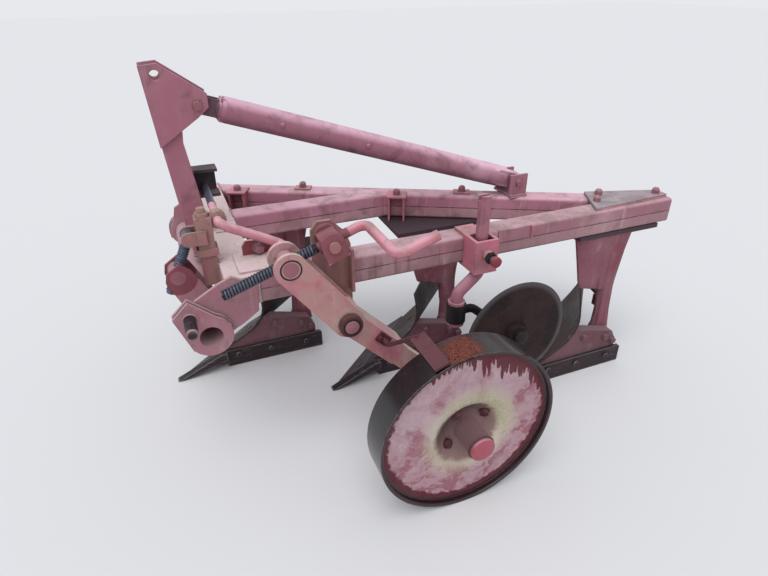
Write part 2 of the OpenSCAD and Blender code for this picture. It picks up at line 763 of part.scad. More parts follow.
module coulter_disc() {
    color([0.20, 0.18, 0.18]) translate([disc_x, disc_y, disc_z]) rotate([-90, 0, 0]) rotate_extrude($fn = 96)
        polygon([[16 + run_gap, -26], [46, -26], [50, -disc_t / 2], [disc_r - 20, -disc_t / 2], [disc_r, 0],
            [disc_r - 20, disc_t / 2], [50, disc_t / 2], [46, 20], [16 + run_gap, 20]]);
}

// Bodies: children are placed at the share tip of body k
module at_body(k) {
    translate([tip_x + k * pitch, tip_y - k * furrow, 0]) children();
}

flange_x0 = 350;
flange_x1 = 790;

// Leg sections from the top down: height, front, rear, length of the front's taper
leg_levels = [[beam_z - flange_t, 392, 684, 56], [560, 414, 666, 56], [440, 444, 650, 56], [402, 456, 646, 52],
    [376, 562, 645, 16], [265, 578, 650, 14], [186, 574, 660, 14], [128, 546, 668, 14]];
leg_edge = 12;
leg_corner = 30;

function leg_section(l) = [[l[1], leg_y + (leg_t - leg_edge) / 2, l[0]], [l[1] + l[3], leg_y, l[0]],
    [l[2] - leg_corner, leg_y, l[0]], [l[2], leg_y + 12, l[0]], [l[2], leg_y + leg_t - 12, l[0]],
    [l[2] - leg_corner, leg_y + leg_t, l[0]], [l[1] + l[3], leg_y + leg_t, l[0]],
    [l[1], leg_y + (leg_t + leg_edge) / 2, l[0]]];

// Skin through a stack of closed sections that run from the top down
module loft(sections) {
    n = len(sections[0]);
    m = len(sections);
    polyhedron([for (q = sections) each q], concat(
        [[for (j = [n - 1:-1:0]) j]],
        [for (i = [0:m - 2], j = [0:n - 1], t = [[i * n + j, i * n + (j + 1) % n, (i + 1) * n + (j + 1) % n],
            [i * n + j, (i + 1) * n + (j + 1) % n, (i + 1) * n + j]]) t],
        [[for (j = [0:n - 1]) (m - 1) * n + j]]));
}

// Flange plate under the beam: a wide one to the slanting beam, a narrow one on the side beam
module flange(k) {
    y0 = beam_offset - tan(beam_angle) * flange_x0;
    y1 = beam_offset - tan(beam_angle) * flange_x1;
    translate([0, 0, beam_z - flange_t]) linear_extrude(flange_t)
        if (k < 2) polygon([[flange_x0, leg_y - 4], [flange_x1 - 50, leg_y - 4], [flange_x1, leg_y + 60],
            [flange_x1, y1 + 50], [flange_x0 + 10, y0 + 50]]);
        else polygon([[flange_x0 + 40, leg_y - 4], [flange_x1 + 16, leg_y - 4], [flange_x1 + 16, leg_y + 84],
            [flange_x0 + 40, leg_y + 84]]);
}

// Leg: flange plate under the beam and the tapered upright below it
module leg(k) {
    color([0.70, 0.40, 0.42]) at_body(k) {
        flange(k);
        loft([for (l = leg_levels) leg_section(l)]);
    }
}

// Working face: level straight lines whose direction turns with height
lift0 = 36;
straight_z = 150;
upright_z = 300;
lean_r = 1400;
edge_angle0 = 43;
edge_angle1 = 53;
edge_y0 = 18;
edge_l = 470;
share_top = 62;
share_t = 8;
seam = 0.5;
shin_y = land_y + 6 + board_t * cos(edge_angle0) + seam;
wing = 250;
shin_drop = 46;
curl_r = (upright_z - straight_z) / cos(lift0);

// How far the skin has gone back from the cutting edge at height z: straight, then curled, then leaning forward
function reach(z) = z <= straight_z ? z / tan(lift0) :
    z <= upright_z ? straight_z / tan(lift0)
        + curl_r * (sqrt(1 - pow(cos(lift0) - (z - straight_z) / curl_r, 2)) - sin(lift0)) :
    reach(upright_z) - lean_r * (1 - sqrt(1 - pow((z - upright_z) / lean_r, 2)));
function line_angle(z) = edge_angle0 + (edge_angle1 - edge_angle0) * pow(max(0, z - share_top) / (board_z - share_top), 1.5);
// Point at height z, a distance s along its level line from the shin
function skin(s, z) =
    let (a = line_angle(z), gx = 160 * cos(edge_angle0) + reach(z) * sin(edge_angle0),
        gy = edge_y0 + 160 * sin(edge_angle0) - reach(z) * cos(edge_angle0), s0 = (shin_y - gy) / sin(a))
    [gx + (s0 + s) * cos(a), gy + (s0 + s) * sin(a), z];
function skin_n(s, z) = unit(cross(skin(s, z + 1) - skin(s, z - 1), skin(s + 1, z) - skin(s - 1, z)));
function back(s, z, t) = skin(s, z) - skin_n(s, z) * t;
// Length of the level line at height z, from the shin to the wing
function line_len(z) = edge_l + wing * sin(180 * min(1, max(0, (z - share_top) / (board_z * 1.25))));
function board_low(u) = share_top + seam + 50 * pow(max(0, u - 0.85) / 0.15, 2);
function board_high(u) = u < 0.22 ? board_z - shin_drop :
    u < 0.45 ? board_z - shin_drop * pow(cos(90 * (u - 0.22) / 0.23), 2) : board_z - 115 * pow((u - 0.45) / 0.55, 2.2);
function board_height(u, v) = board_low(u) + (board_high(u) - board_low(u)) * v;

// Sheet between two grids of points that both have rows by columns
module sheet(front, rear, rows, cols) {
    n = rows * cols;
    polyhedron(concat(front, rear), concat(
        [for (i = [0:rows - 2], j = [0:cols - 2], a = [i * cols + j], b = [a + cols],
            t = [[a, b, b + 1], [a, b + 1, a + 1], [n + b + 1, n + b, n + a], [n + a + 1, n + b + 1, n + a]]) t],
        [for (j = [0:cols - 2], a = [j], b = [(rows - 1) * cols + j],
            t = [[a, a + 1, n + a + 1], [a, n + a + 1, n + a], [b + 1, b, n + b], [b + 1, n + b, n + b + 1]]) t],
        [for (i = [0:rows - 2], a = [i * cols], b = [a + cols], c = [i * cols + cols - 1], d = [c + cols],
            t = [[b, a, n + a], [b, n + a, n + b], [c, d, n + d], [c, n + d, n + c]]) t]));
}

board_nu = 16;
board_nv = 12;

module moldboard(k) {
    grid = [for (i = [0:board_nu], j = [0:board_nv]) let (u = i / board_nu, z = board_height(u, j / board_nv))
        [u * line_len(z), z]];
    color([0.20, 0.16, 0.16]) at_body(k)
        sheet([for (g = grid) skin(g[0], g[1])], [for (g = grid) back(g[0], g[1], board_t)],
            board_nu + 1, board_nv + 1);
}

// Share: the blade below the moldboard, thinner to its cutting edge
share_edge = 3;
share_nv = 4;

module share(k) {
    grid = [for (i = [0:4], j = [0:share_nv]) let (v = j / share_nv, z = 2.8 + (share_top - 2.8) * v)
        [i / 4 * (edge_l + 12 * (1 - v)), z, share_edge + (share_t - share_edge) * min(1, v * 2)]];
    color([0.30, 0.28, 0.29]) at_body(k)
        sheet([for (g = grid) skin(g[0], g[1])], [for (g = grid) back(g[0], g[1], g[2])], 5, share_nv + 1);
}

// Everything in front of the back of share and moldboard, to fit pieces behind them
module front_space(s1) {
    z1 = board_z + 10;
    grid = [for (i = [0:8], j = [0:40]) [-240 + (s1 + 240) * i / 8, z1 * j / 40]];
    sheet([for (g = grid) back(g[0], g[1], -110)], [for (g = grid) back(g[0], g[1], board_t + 0.45)], 9, 41);
}

// Frog: carries share, moldboard and landside on the leg, with the stay to the wing
frog_rear = 664;
frog_foot = 14;
stay_r = 11;
stay_z = 290;
stay_x = 640;
stay_s = 400;
pad_l = 52;

module frog(k) {
    color([0.55, 0.42, 0.42]) at_body(k) difference() {
        union() {
            slab(land_y + land_t, leg_y) polygon([[92, frog_foot], [290, 150], [370, 228], [431, 225],
                [500, 207], [frog_rear - 28, 171], [frog_rear, 120], [frog_rear, 20], [frog_rear - 104, frog_foot]]);
            slab(leg_y, leg_y + leg_t + 30) polygon([[175, frog_foot], [240, 120], [400, 116], [frog_rear, 116],
                [frog_rear, 40], [frog_rear - 104, frog_foot]]);
            rod([stay_x, leg_y + leg_t + 10, stay_z], skin(stay_s, stay_z), stay_r);
            translate([stay_x - 46, leg_y + leg_t, stay_z - pad_l / 2]) cube([pad_l, 22, pad_l]);
        }
        front_space(420);
    }
}

// Point: chisel bar beside the share, down to the furrow floor
module point(k) {
    color([0.34, 0.33, 0.35]) at_body(k) slab(0, land_y + 6)
        polygon([[0, 0], [30, 0], [land_x0, 60], [land_x0, 92], [206, 92]]);
}

land_x0 = 232;

module landside(k) {
    color([0.28, 0.28, 0.30]) at_body(k) slab(land_y, land_y + land_t)
        polygon([[land_x0, 0], [land_end, 0], [land_end, land_h - 10], [land_end - 10, land_h], [land_x0, land_h]]);
}

place() main_beam();
place() side_beam();
place() middle_beam();
place() rear_gusset();
place() leg_clamps();
place() headstock_box();
place() headstock_cheeks();
place() headstock_post();
place() mast_plates();
place() mast_post();
place() crank_bracket();
place() lateral_crank();
place() brace_tube();
place() brace_pins();
place() brace_bracket();
place() cross_shaft();
place() tilt_nut();
place() tilt_spindle();
place() depth_bracket();
place() depth_screw();
place() depth_nut();
place() wheel_arm();
place() wheel_scraper();
place() wheel();
place() hub_cap();
place() coulter_clamp();
place() coulter_shank();
place() coulter_arm();
place() coulter_disc();
for (k = body_k) {
    place() leg(k);
    place() frog(k);
    place() moldboard(k);
    place() share(k);
    place() point(k);
    place() landside(k);
}
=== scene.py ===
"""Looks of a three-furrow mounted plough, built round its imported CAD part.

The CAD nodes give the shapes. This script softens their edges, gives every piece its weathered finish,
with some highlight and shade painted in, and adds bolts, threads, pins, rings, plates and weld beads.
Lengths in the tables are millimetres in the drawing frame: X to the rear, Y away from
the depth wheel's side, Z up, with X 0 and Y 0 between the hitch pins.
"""

import json
import logging
import math
from collections.abc import Sequence
from dataclasses import dataclass
from enum import Enum

import bmesh
import bpy
from mathutils import Matrix, Vector
from mathutils.bvhtree import BVHTree

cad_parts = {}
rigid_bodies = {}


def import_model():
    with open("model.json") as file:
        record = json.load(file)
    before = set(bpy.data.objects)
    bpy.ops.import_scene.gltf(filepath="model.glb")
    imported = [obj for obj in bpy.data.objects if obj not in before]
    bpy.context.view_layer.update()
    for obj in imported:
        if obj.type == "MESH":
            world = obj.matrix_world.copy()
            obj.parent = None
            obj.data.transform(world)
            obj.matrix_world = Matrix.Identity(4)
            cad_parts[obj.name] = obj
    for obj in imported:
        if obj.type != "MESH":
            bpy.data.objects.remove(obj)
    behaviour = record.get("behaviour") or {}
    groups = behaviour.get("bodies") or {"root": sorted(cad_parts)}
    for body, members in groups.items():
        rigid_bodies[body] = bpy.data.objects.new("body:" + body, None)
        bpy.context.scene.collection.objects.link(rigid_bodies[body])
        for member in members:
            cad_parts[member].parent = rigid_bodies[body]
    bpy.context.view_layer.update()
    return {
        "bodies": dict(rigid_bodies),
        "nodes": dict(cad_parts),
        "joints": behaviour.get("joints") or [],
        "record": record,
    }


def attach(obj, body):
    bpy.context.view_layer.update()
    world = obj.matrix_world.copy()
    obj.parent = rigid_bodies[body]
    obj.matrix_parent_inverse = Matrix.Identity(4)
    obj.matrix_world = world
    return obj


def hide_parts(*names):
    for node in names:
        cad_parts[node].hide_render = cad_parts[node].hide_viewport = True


LOG = logging.getLogger("plough")
ORIGIN = Vector((970.0, -135.0, 0.0))

REAR = Vector((1, 0, 0))
FAR = Vector((0, 1, 0))
NEAR = Vector((0, -1, 0))
UP = Vector((0, 0, 1))
DOWN = Vector((0, 0, -1))

SOFT_ANGLE = math.radians(32)
FLAT_ANGLE = math.radians(0.4)
CAD_MERGE = 0.00002
OWN_MERGE = 0.00001
WIRE_SIDES = 8

Colour = tuple[float, float, float, float]
Shade = tuple[int, int, int]
Point = tuple[float, float, float]
Spots = Sequence[tuple[float, float]]
Mesh = bpy.types.Mesh
Piece = bpy.types.Object
Socket = bpy.types.NodeSocket


def at(x: float, y: float, z: float) -> Vector:
    """Turn drawing millimetres into a point of the model in metres."""
    return (Vector((x, y, z)) - ORIGIN) / 1000


def way(x: float, y: float, z: float) -> Vector:
    """Return the unit vector along x, y, z."""
    return Vector((x, y, z)).normalized()


def tone(shade: Shade) -> Colour:
    """Turn a screen colour of 0 to 255 into the linear colour that a shader takes, with full alpha."""
    parts = [part / 255 for part in shade]
    return (*(c / 12.92 if c <= 0.04045 else ((c + 0.055) / 1.055) ** 2.4 for c in parts), 1.0)


class Net:
    """Adds nodes to one shader or geometry tree."""

    def __init__(self, tree: bpy.types.NodeTree) -> None:
        """Keep the tree and empty it."""
        self.tree = tree
        tree.nodes.clear()

    def add(self, kind: str, settings: dict | None = None, sockets: dict | None = None) -> bpy.types.Node:
        """Add one node.

        Args:
            kind: Node type.
            settings: Properties, set first.
            sockets: Values or links by input name or number.

        Returns:
            The new node.
        """
        node = self.tree.nodes.new(kind)
        for name, value in (settings or {}).items():
            setattr(node, name, value)
        for key, value in (sockets or {}).items():
            self.feed(node.inputs[key], value)
        return node

    def feed(self, socket: Socket, value: object) -> None:
        """Link or set one input.

        Args:
            socket: The input.
            value: A link, an amount or a plain value.
        """
        if isinstance(value, Amount):
            value = value.socket
        if isinstance(value, Socket):
            self.tree.links.new(value, socket)
        else:
            socket.default_value = value

    def maths(self, operation: str, *terms: object, clamp: bool = False) -> "Amount":
        """Add a Math node.

        Args:
            operation: Its operation.
            terms: Its values or links.
            clamp: Whether the result is kept within 0 and 1.

        Returns:
            The result.
        """
        settings = {"operation": operation, "use_clamp": clamp}
        return Amount(self, self.add("ShaderNodeMath", settings, dict(enumerate(terms))).outputs[0])

    def chance(self, kind: str, low: object, high: object, seed: int) -> Socket:
        """Draw a random value between low and high for every point.

        Args:
            kind: Type of the value.
            low: Lowest value.
            high: Highest value.
            seed: Fixed seed.

        Returns:
            The value.
        """
        sockets = {"Min": low, "Max": high, "Seed": seed}
        node = self.add("FunctionNodeRandomValue", {"data_type": kind}, sockets)
        return next(o for o in node.outputs if o.enabled)


class Amount:
    """A number socket that takes part in Python arithmetic."""

    def __init__(self, net: Net, socket: Socket) -> None:
        """Keep the net and the socket."""
        self.net = net
        self.socket = socket

    def __add__(self, other: object) -> "Amount":
        """Add."""
        return self.net.maths("ADD", self, other)

    def __sub__(self, other: object) -> "Amount":
        """Subtract."""
        return self.net.maths("SUBTRACT", self, other)

    def __rsub__(self, other: object) -> "Amount":
        """Subtract, reflected."""
        return self.net.maths("SUBTRACT", other, self)

    def __mul__(self, other: object) -> "Amount":
        """Multiply."""
        return self.net.maths("MULTIPLY", self, other)

    def __truediv__(self, other: object) -> "Amount":
        """Divide."""
        return self.net.maths("DIVIDE", self, other)

    def __pow__(self, other: object) -> "Amount":
        """Raise to a power."""
        return self.net.maths("POWER", self, other)

    __radd__ = __add__
    __rmul__ = __mul__

    def clamped(self) -> "Amount":
        """Keep within 0 and 1."""
        return self.net.maths("ADD", self, 0.0, clamp=True)

    def band(self, low: float, high: float) -> "Amount":
        """Rise smoothly from 0 at low to 1 at high.

        Args:
            low: Where the result is 0.
            high: Where it is 1, above or below low.

        Returns:
            The result, 0 to 1.
        """
        node = self.net.add(
            "ShaderNodeMapRange",
            {"interpolation_type": "SMOOTHSTEP"},
            {"Value": self, "From Min": min(low, high), "From Max": max(low, high)},
        )
        result = Amount(self.net, node.outputs[0])
        return 1 - result if low > high else result


class Surface(Net):
    """A material's tree: its patterns, and a colour that is laid on coat by coat."""

    def __init__(self, name: str, colour: Shade) -> None:
        """Make the material with its first coat.

        Args:
            name: Name of the material.
            colour: Its first coat.
        """
        self.material = bpy.data.materials.new(name)
        self.material.use_nodes = True
        super().__init__(self.material.node_tree)
        self.colour = tone(colour)
        places = self.add("ShaderNodeTexCoord")
        self.place = places.outputs["Object"]
        _, self.across, self.up = self.parts(places.outputs["Normal"])

    def lay(self, mask: object, coat: Shade) -> None:
        """Lay one more coat where the mask, kept within 0 and 1, is 1.

        Args:
            mask: Where the coat goes.
            coat: Its colour.
        """
        settings = {"data_type": "RGBA", "blend_type": "MIX", "clamp_factor": True}
        coats = {0: mask, 6: self.colour, 7: tone(coat)}
        self.colour = self.add("ShaderNodeMix", settings, coats).outputs[2]

    def moved(self, centre: Sequence[float] = (0, 0, 0), stretch: Point = (1.0, 1.0, 1.0)) -> Socket:
        """Return the place as seen from a centre, stretched.

        Args:
            centre: The centre, in metres.
            stretch: Scale along X, Y and Z.

        Returns:
            The place as a vector.
        """
        shift = [-c * s for c, s in zip(centre, stretch)]
        sockets = {"Vector": self.place, "Location": shift, "Scale": stretch}
        return self.add("ShaderNodeMapping", sockets=sockets).outputs[0]

    def parts(self, vector: Socket) -> list[Amount]:
        """Return the three parts of a vector."""
        node = self.add("ShaderNodeSeparateXYZ", sockets={0: vector})
        return [Amount(self, part) for part in node.outputs]

    def length(self, first: Amount, *others: Amount) -> Amount:
        """Return the length of a vector of these parts.

        Args:
            first: First part.
            others: Other parts.

        Returns:
            The length.
        """
        total = first * first
        for part in others:
            total = total + part * part
        return self.maths("SQRT", total)

    def noise(
        self, scale: float, detail: float = 3.0, rough: float = 0.55, place: object = None, twist: float = 0.0
    ) -> Amount:
        """Add a noise.

        Args:
            scale: Repeats a metre.
            detail: Octaves.
            rough: Strength of the finer octaves.
            place: Vector to read, or none for the object's own place.
            twist: Distortion.

        Returns:
            The noise from 0 to 1.
        """
        sockets = {"Vector": place or self.place, "Scale": scale, "Detail": detail}
        sockets |= {"Roughness": rough, "Distortion": twist}
        return Amount(self, self.add("ShaderNodeTexNoise", sockets=sockets).outputs[0])

    def corners(self, distance: float) -> Amount:
        """Return 1 in tight corners and 0 on open faces."""
        node = self.add("ShaderNodeAmbientOcclusion", {"samples": 4}, {"Distance": distance})
        return 1 - Amount(self, node.outputs["AO"])

    def edges(self, radius: float) -> Amount:
        """Return how near a sharp edge is, 0 to 1.

        Args:
            radius: Reach of the edge in metres.

        Returns:
            1 on a sharp edge and 0 away from it.
        """
        round_way = self.add("ShaderNodeBevel", {"samples": 4}, {"Radius": radius})
        true_way = self.add("ShaderNodeNewGeometry")
        ways = {0: round_way.outputs[0], 1: true_way.outputs["Normal"]}
        dot = self.add("ShaderNodeVectorMath", {"operation": "DOT_PRODUCT"}, ways)
        return (1 - Amount(self, dot.outputs["Value"])).band(0.02, 0.2)

    def close(
        self,
        rough: object,
        height: Amount | None = None,
        metal: object = 0.0,
        depth: float = 0.001,
        fixed: dict | None = None,
    ) -> bpy.types.Material:
        """End the tree in one shader.

        Args:
            rough: Roughness.
            height: Height of the relief, 0 to 1.
            metal: Metallic.
            depth: Metres that a height of 1 stands for.
            fixed: Values of other sockets.

        Returns:
            The finished material.
        """
        sockets = {"Base Color": self.colour, "Roughness": rough, "Metallic": metal}
        sockets["Specular IOR Level"] = 0.3
        if height is not None:
            bump = self.add("ShaderNodeBump", sockets={"Height": height, "Distance": depth, "Strength": 1.0})
            sockets["Normal"] = bump.outputs[0]
        sockets.update(fixed or {})
        shader = self.add("ShaderNodeBsdfPrincipled", sockets=sockets)
        self.add("ShaderNodeOutputMaterial", sockets={"Surface": shader.outputs[0]})
        return self.material


@dataclass(frozen=True)
class OldPaint:
    """Chalky oxide paint that has faded, run, chipped and gathered dust, with painted highlight and shade.

    Shares give how much of a kind of wear or painted highlight there is. Seam is the height of a weld line,
    zone the middle of an oily place, and crown the height above which the piece is dark.
    """

    name: str
    slot: str
    paint: Shade = (154, 98, 112)
    chalk_and_highlight: Shade = (212, 168, 181)
    deep_and_shade: Shade = (102, 48, 58)
    dust: Shade = (168, 146, 142)
    moss: Shade = (112, 112, 78)
    rust: Shade = (70, 44, 38)
    chalk_highlight_share: float = 0.75
    dust_share: float = 0.3
    moss_share: float = 0.1
    run_share: float = 0.3
    chip_share: float = 0.35
    seam: float = 0.0
    zone: Vector | None = None
    zone_size: float = 0.066
    zone_squash: float = math.sqrt(0.5)
    zone_tone: Shade = (126, 72, 80)
    crown: float = 0.0
    crown_tone: Shade = (58, 50, 58)

    def build(self) -> bpy.types.Material:
        """Build the material.

        Returns:
            The finished material.
        """
        s = Surface(self.name, self.paint)
        wide = s.noise(2.6, 3)
        mid = s.noise(13, 4, 0.6, twist=0.6)
        fine = s.noise(85, 4, 0.65)
        grain = s.noise(420, 2, 0.6)
        runs = s.noise(1, 4, 0.6, s.moved(stretch=(34, 34, 2.2)), 0.4)
        hidden = s.corners(0.05)
        upward = s.up.band(0.25, 0.95)
        underside_shade = s.up.band(-0.2, -0.9)
        side = 1 - upward
        height = s.parts(s.place)[2]
        # Chalky bleaching in patches, and a painted highlight that lightens the faces that look up.
        s.lay((upward * 0.85 + wide.band(0.4, 0.7) * 0.5 + fine * 0.2 - 0.12) * self.chalk_highlight_share, self.chalk_and_highlight)
        if self.seam:
            lower = height.band(self.seam + 0.002, self.seam - 0.002) * side
            s.lay(lower * (0.15 + mid * 0.35), self.dust)
        # Painted shade darkens the faces that look down; the noise patches are the coat's own darker
        # mottling.
        s.lay((mid.band(0.46, 0.74) + underside_shade) * 0.5, self.deep_and_shade)
        s.lay(side * runs.band(0.56, 0.7) * wide.band(0.36, 0.6) * self.run_share, self.deep_and_shade)
        s.lay(side * runs.band(0.46, 0.34) * mid.band(0.4, 0.6) * self.run_share * 0.8, self.chalk_and_highlight)
        dusty = (mid.band(0.35, 0.62) * (0.35 + upward * 0.8 + hidden * 0.9) + grain * 0.15) * self.dust_share
        s.lay(dusty, self.dust)
        growth = fine.band(0.52, 0.66) * wide.band(0.42, 0.6) * (0.3 + upward + hidden)
        s.lay(growth * self.moss_share, self.moss)
        if self.zone is not None:
            x, y, z = s.parts(s.moved(self.zone))
            near = s.length(x, y * self.zone_squash, z).band(self.zone_size + 0.002, self.zone_size - 0.002)
            s.lay(near * (0.7 + mid * 0.3), self.zone_tone)
        if self.crown:
            s.lay(height.band(self.crown - 0.003, self.crown) * 0.9, self.crown_tone)
        chips = (s.edges(0.004) * 0.7 + fine.band(0.6, 0.74) * 0.9) * mid.band(0.48, 0.6) * self.chip_share
        s.lay(chips, self.rust)
        # Painted shade: tight corners found by the occlusion mask are darkened in the rust colour.
        s.lay(hidden.band(0.35, 0.95) * 0.6, self.rust)
        relief = fine * 0.5 + grain * 0.25 - chips * 0.6
        if self.seam:
            crack = s.maths("ABSOLUTE", height - self.seam).band(0.003, 0.001) * side
            s.lay(crack * mid.band(0.3, 0.5) * 0.8, self.rust)
            relief = relief - crack
        return s.close(0.58 + fine * 0.24 + dusty * 0.2, relief, depth=0.0008)


@dataclass(frozen=True)
class WornIron:
    """Bare iron: brown bloom on the faces, brighter where soil or use rubs."""

    name: str
    slot: str
    iron: Shade = (44, 36, 38)
    bloom: Shade = (82, 52, 44)
    pit: Shade = (22, 18, 19)
    bright: Shade = (128, 124, 126)
    bloom_share: float = 0.5
    bright_share: float = 0.6
    metal: float = 0.55
    rough: float = 0.46
    edge: float = 0.006

    def build(self) -> bpy.types.Material:
        """Build the material.

        Returns:
            The finished material.
        """
        s = Surface(self.name, self.iron)
        wide = s.noise(5, 4, 0.6, twist=0.5)
        mid = s.noise(26, 5, 0.65, twist=0.4)
        fine = s.noise(160, 3, 0.6)
        scored = s.noise(1, 3, 0.6, s.moved(stretch=(9, 60, 120)))
        rusty = (wide.band(0.42, 0.62) * 0.7 + mid.band(0.5, 0.66) * 0.5) * self.bloom_share
        s.lay(rusty, self.bloom)
        s.lay(fine.band(0.45, 0.75) * 0.35, self.pit)
        rubbed = (s.edges(self.edge) * 0.9 + scored.band(0.55, 0.7) * 0.25) * self.bright_share
        rubbed = (rubbed * (1.1 - rusty)).clamped()
        s.lay(rubbed, self.bright)
        rough = self.rough + rusty * 0.3 + fine * 0.12 - rubbed * 0.15
        metal = (self.metal + rubbed * 0.4 - rusty * 0.4).clamped()
        return s.close(rough, fine * 0.5 + mid * 0.8, metal, 0.0006)


@dataclass(frozen=True)
class GreasedSteel:
    """Blue-black screw steel with old grease and dust in it, and painted shade in its grooves."""

    name: str
    slot: str
    steel: Shade = (92, 96, 114)
    grease: Shade = (28, 26, 30)
    dirt_and_shade: Shade = (104, 84, 74)
    dirt_share: float = 0.35

    def build(self) -> bpy.types.Material:
        """Build the material.

        Returns:
            The finished material.
        """
        s = Surface(self.name, self.steel)
        mid = s.noise(38, 4, 0.6)
        fine = s.noise(210, 3, 0.6)
        s.lay(mid.band(0.5, 0.75) * 0.4, self.grease)
        # Dirt packed in the grooves where the occlusion mask finds them, which also paints shade into them.
        groove_dirt_and_shade = fine.band(0.48, 0.66) * s.corners(0.012).band(0.1, 0.6)
        dirty = (groove_dirt_and_shade + mid.band(0.6, 0.7) * 0.5) * self.dirt_share
        s.lay(dirty, self.dirt_and_shade)
        return s.close(0.34 + fine * 0.15 + dirty * 0.4, fine, 0.45, 0.0003)


@dataclass(frozen=True)
class WheelCoat:
    """The wheel's coats by distance from its axle: tread, rim, face, runs and hub."""

    name: str
    slot: str
    centre: Vector
    patch: Vector
    rim: float = 0.303
    black: Shade = (23, 16, 20)
    rust: Shade = (152, 78, 60)
    speck: Shade = (112, 44, 48)
    face: Shade = (164, 122, 132)
    dusty: Shade = (200, 180, 186)
    worn: Shade = (142, 74, 88)
    wine: Shade = (90, 30, 40)
    brown: Shade = (132, 100, 100)
    shade: Shade = (64, 38, 40)
    halo: Shade = (204, 194, 178)
    moss: Shade = (150, 152, 96)
    bright: Shade = (160, 138, 142)

    @staticmethod
    def _fingers(s: Surface, x: Amount, width: float, longest: float) -> Amount:
        """Return the length of the drips in columns, each with a rounded end.

        Args:
            s: The material's tree.
            x: Place across the columns.
            width: Width of a column in metres.
            longest: Length of the longest drip in metres.

        Returns:
            The length at x.
        """
        column = x / width
        cell = s.maths("FLOOR", column)
        chance = s.add("ShaderNodeTexWhiteNoise", {"noise_dimensions": "1D"}, {"W": cell})
        place = s.maths("ABSOLUTE", s.maths("FRACT", column) - 0.5) * 2.0
        return Amount(s, chance.outputs["Value"]) ** 1.2 * longest * (1 - place * place * place)

    def _runs(self, s: Surface, x: Amount, z: Amount, out: Amount, mid: Amount) -> Amount:
        """Return where old dark paint has run down from the rim.

        Args:
            s: The material's tree.
            x: Place along the plough from the axle.
            z: Height above the axle.
            out: Distance from the axle.
            mid: The noise that breaks up the edges.

        Returns:
            1 in the runs and 0 elsewhere.
        """
        bent = x + mid * 0.012
        long_ones = self._fingers(s, bent, 0.017, 0.075)
        short_ones = self._fingers(s, bent + 0.31, 0.0085, 0.05)
        length = s.maths("MAXIMUM", long_ones, short_ones) * x.band(-0.3, 0.02) * z.band(0.0, 0.15)
        length = length + 0.008 + mid * 0.055 * x.band(-0.12, 0.15)
        top = s.maths("SQRT", (self.rim * self.rim - x * x).clamped()) - z
        fallen = (length - top).band(-0.002, 0.002) * z.band(0.0, 0.02)
        border = (out + mid * 0.05 + z.band(0.02, -0.16) * 0.012).band(0.302, 0.312)
        return s.maths("MAXIMUM", fallen, border)

    def build(self) -> bpy.types.Material:
        """Build the material.

        Returns:
            The finished material.
        """
        s = Surface(self.name, self.face)
        seen = s.moved(self.centre)
        x, _, z = s.parts(seen)
        out = s.length(x, z)
        wide = s.noise(5, 4, 0.6, seen, 0.5)
        mid = s.noise(26, 5, 0.62, seen, 0.8)
        fine = s.noise(150, 4, 0.65, seen)
        grain = s.noise(360, 2, 0.5, seen)
        s.lay(mid * 1.1 + fine * 0.5 - 0.35, self.dusty)
        low = (x * 0.7 - z).band(-0.08, 0.2)
        red = (wide.band(0.47, 0.6) * mid.band(0.36, 0.56) + low * mid.band(0.42, 0.6) * 0.6).clamped()
        s.lay(red * 0.8, self.worn)
        s.lay(fine.band(0.5, 0.7) * mid.band(0.42, 0.6) * 0.5, self.dusty)
        spread = out + mid * 0.05 + wide * 0.05
        ring = spread.band(0.25, 0.17) * spread.band(0.11, 0.14)
        s.lay(ring * 0.85, self.halo)
        side = (x * 0.6 + z).band(-0.05, 0.11)
        growth = ring * side * fine.band(0.36, 0.55) + ring * wide.band(0.5, 0.62) * 0.4
        s.lay(growth.clamped() * 0.6, self.moss)
        recess = (out + mid * 0.04 + (x + z) * 0.06).band(0.146, 0.122)
        s.lay(recess * 0.9, self.brown)
        # Painted shade: the recess darkens towards its upper left.
        s.lay(recess * (z - x * 0.7).band(-0.03, 0.1) * 0.75, self.shade)
        runs = self._runs(s, x, z, out, mid)
        s.lay(runs * 0.93, self.wine)
        s.lay(fine.band(0.6, 0.68) * mid.band(0.5, 0.62) * 0.6, self.wine)
        lip = out.band(self.rim - 0.010, self.rim - 0.004)
        s.lay(lip * 0.9, self.black)
        tread = out.band(self.rim + 0.006, self.rim + 0.0095) * s.maths("ABSOLUTE", s.across).band(0.6, 0.4)
        s.lay(tread, self.black)
        px, py, pz = s.parts(s.moved(self.patch))
        blotch = (s.length(px, py, pz) + (mid - 0.5) * 0.12).band(0.085, 0.035)
        s.lay(tread * fine.band(0.58, 0.66) * mid.band(0.44, 0.6) * 0.7, self.speck)
        s.lay(tread * blotch * grain.band(0.4, 0.58) * 0.85, self.rust)
        # Painted highlight: a bright line along the rim lip's edges.
        s.lay(s.edges(0.004) * lip * mid.band(0.36, 0.55) * 0.85, self.bright)
        wet = (lip + tread).clamped() * (1 - blotch)
        fixed = {"Specular IOR Level": 0.4, "Coat Weight": wet * 0.3, "Coat Roughness": 0.15}
        relief = fine * 0.5 + mid * 0.6 + runs * 0.4
        return s.close(0.8 - wet * 0.54 + fine * 0.1, relief, wet * 0.1, 0.0012, fixed)


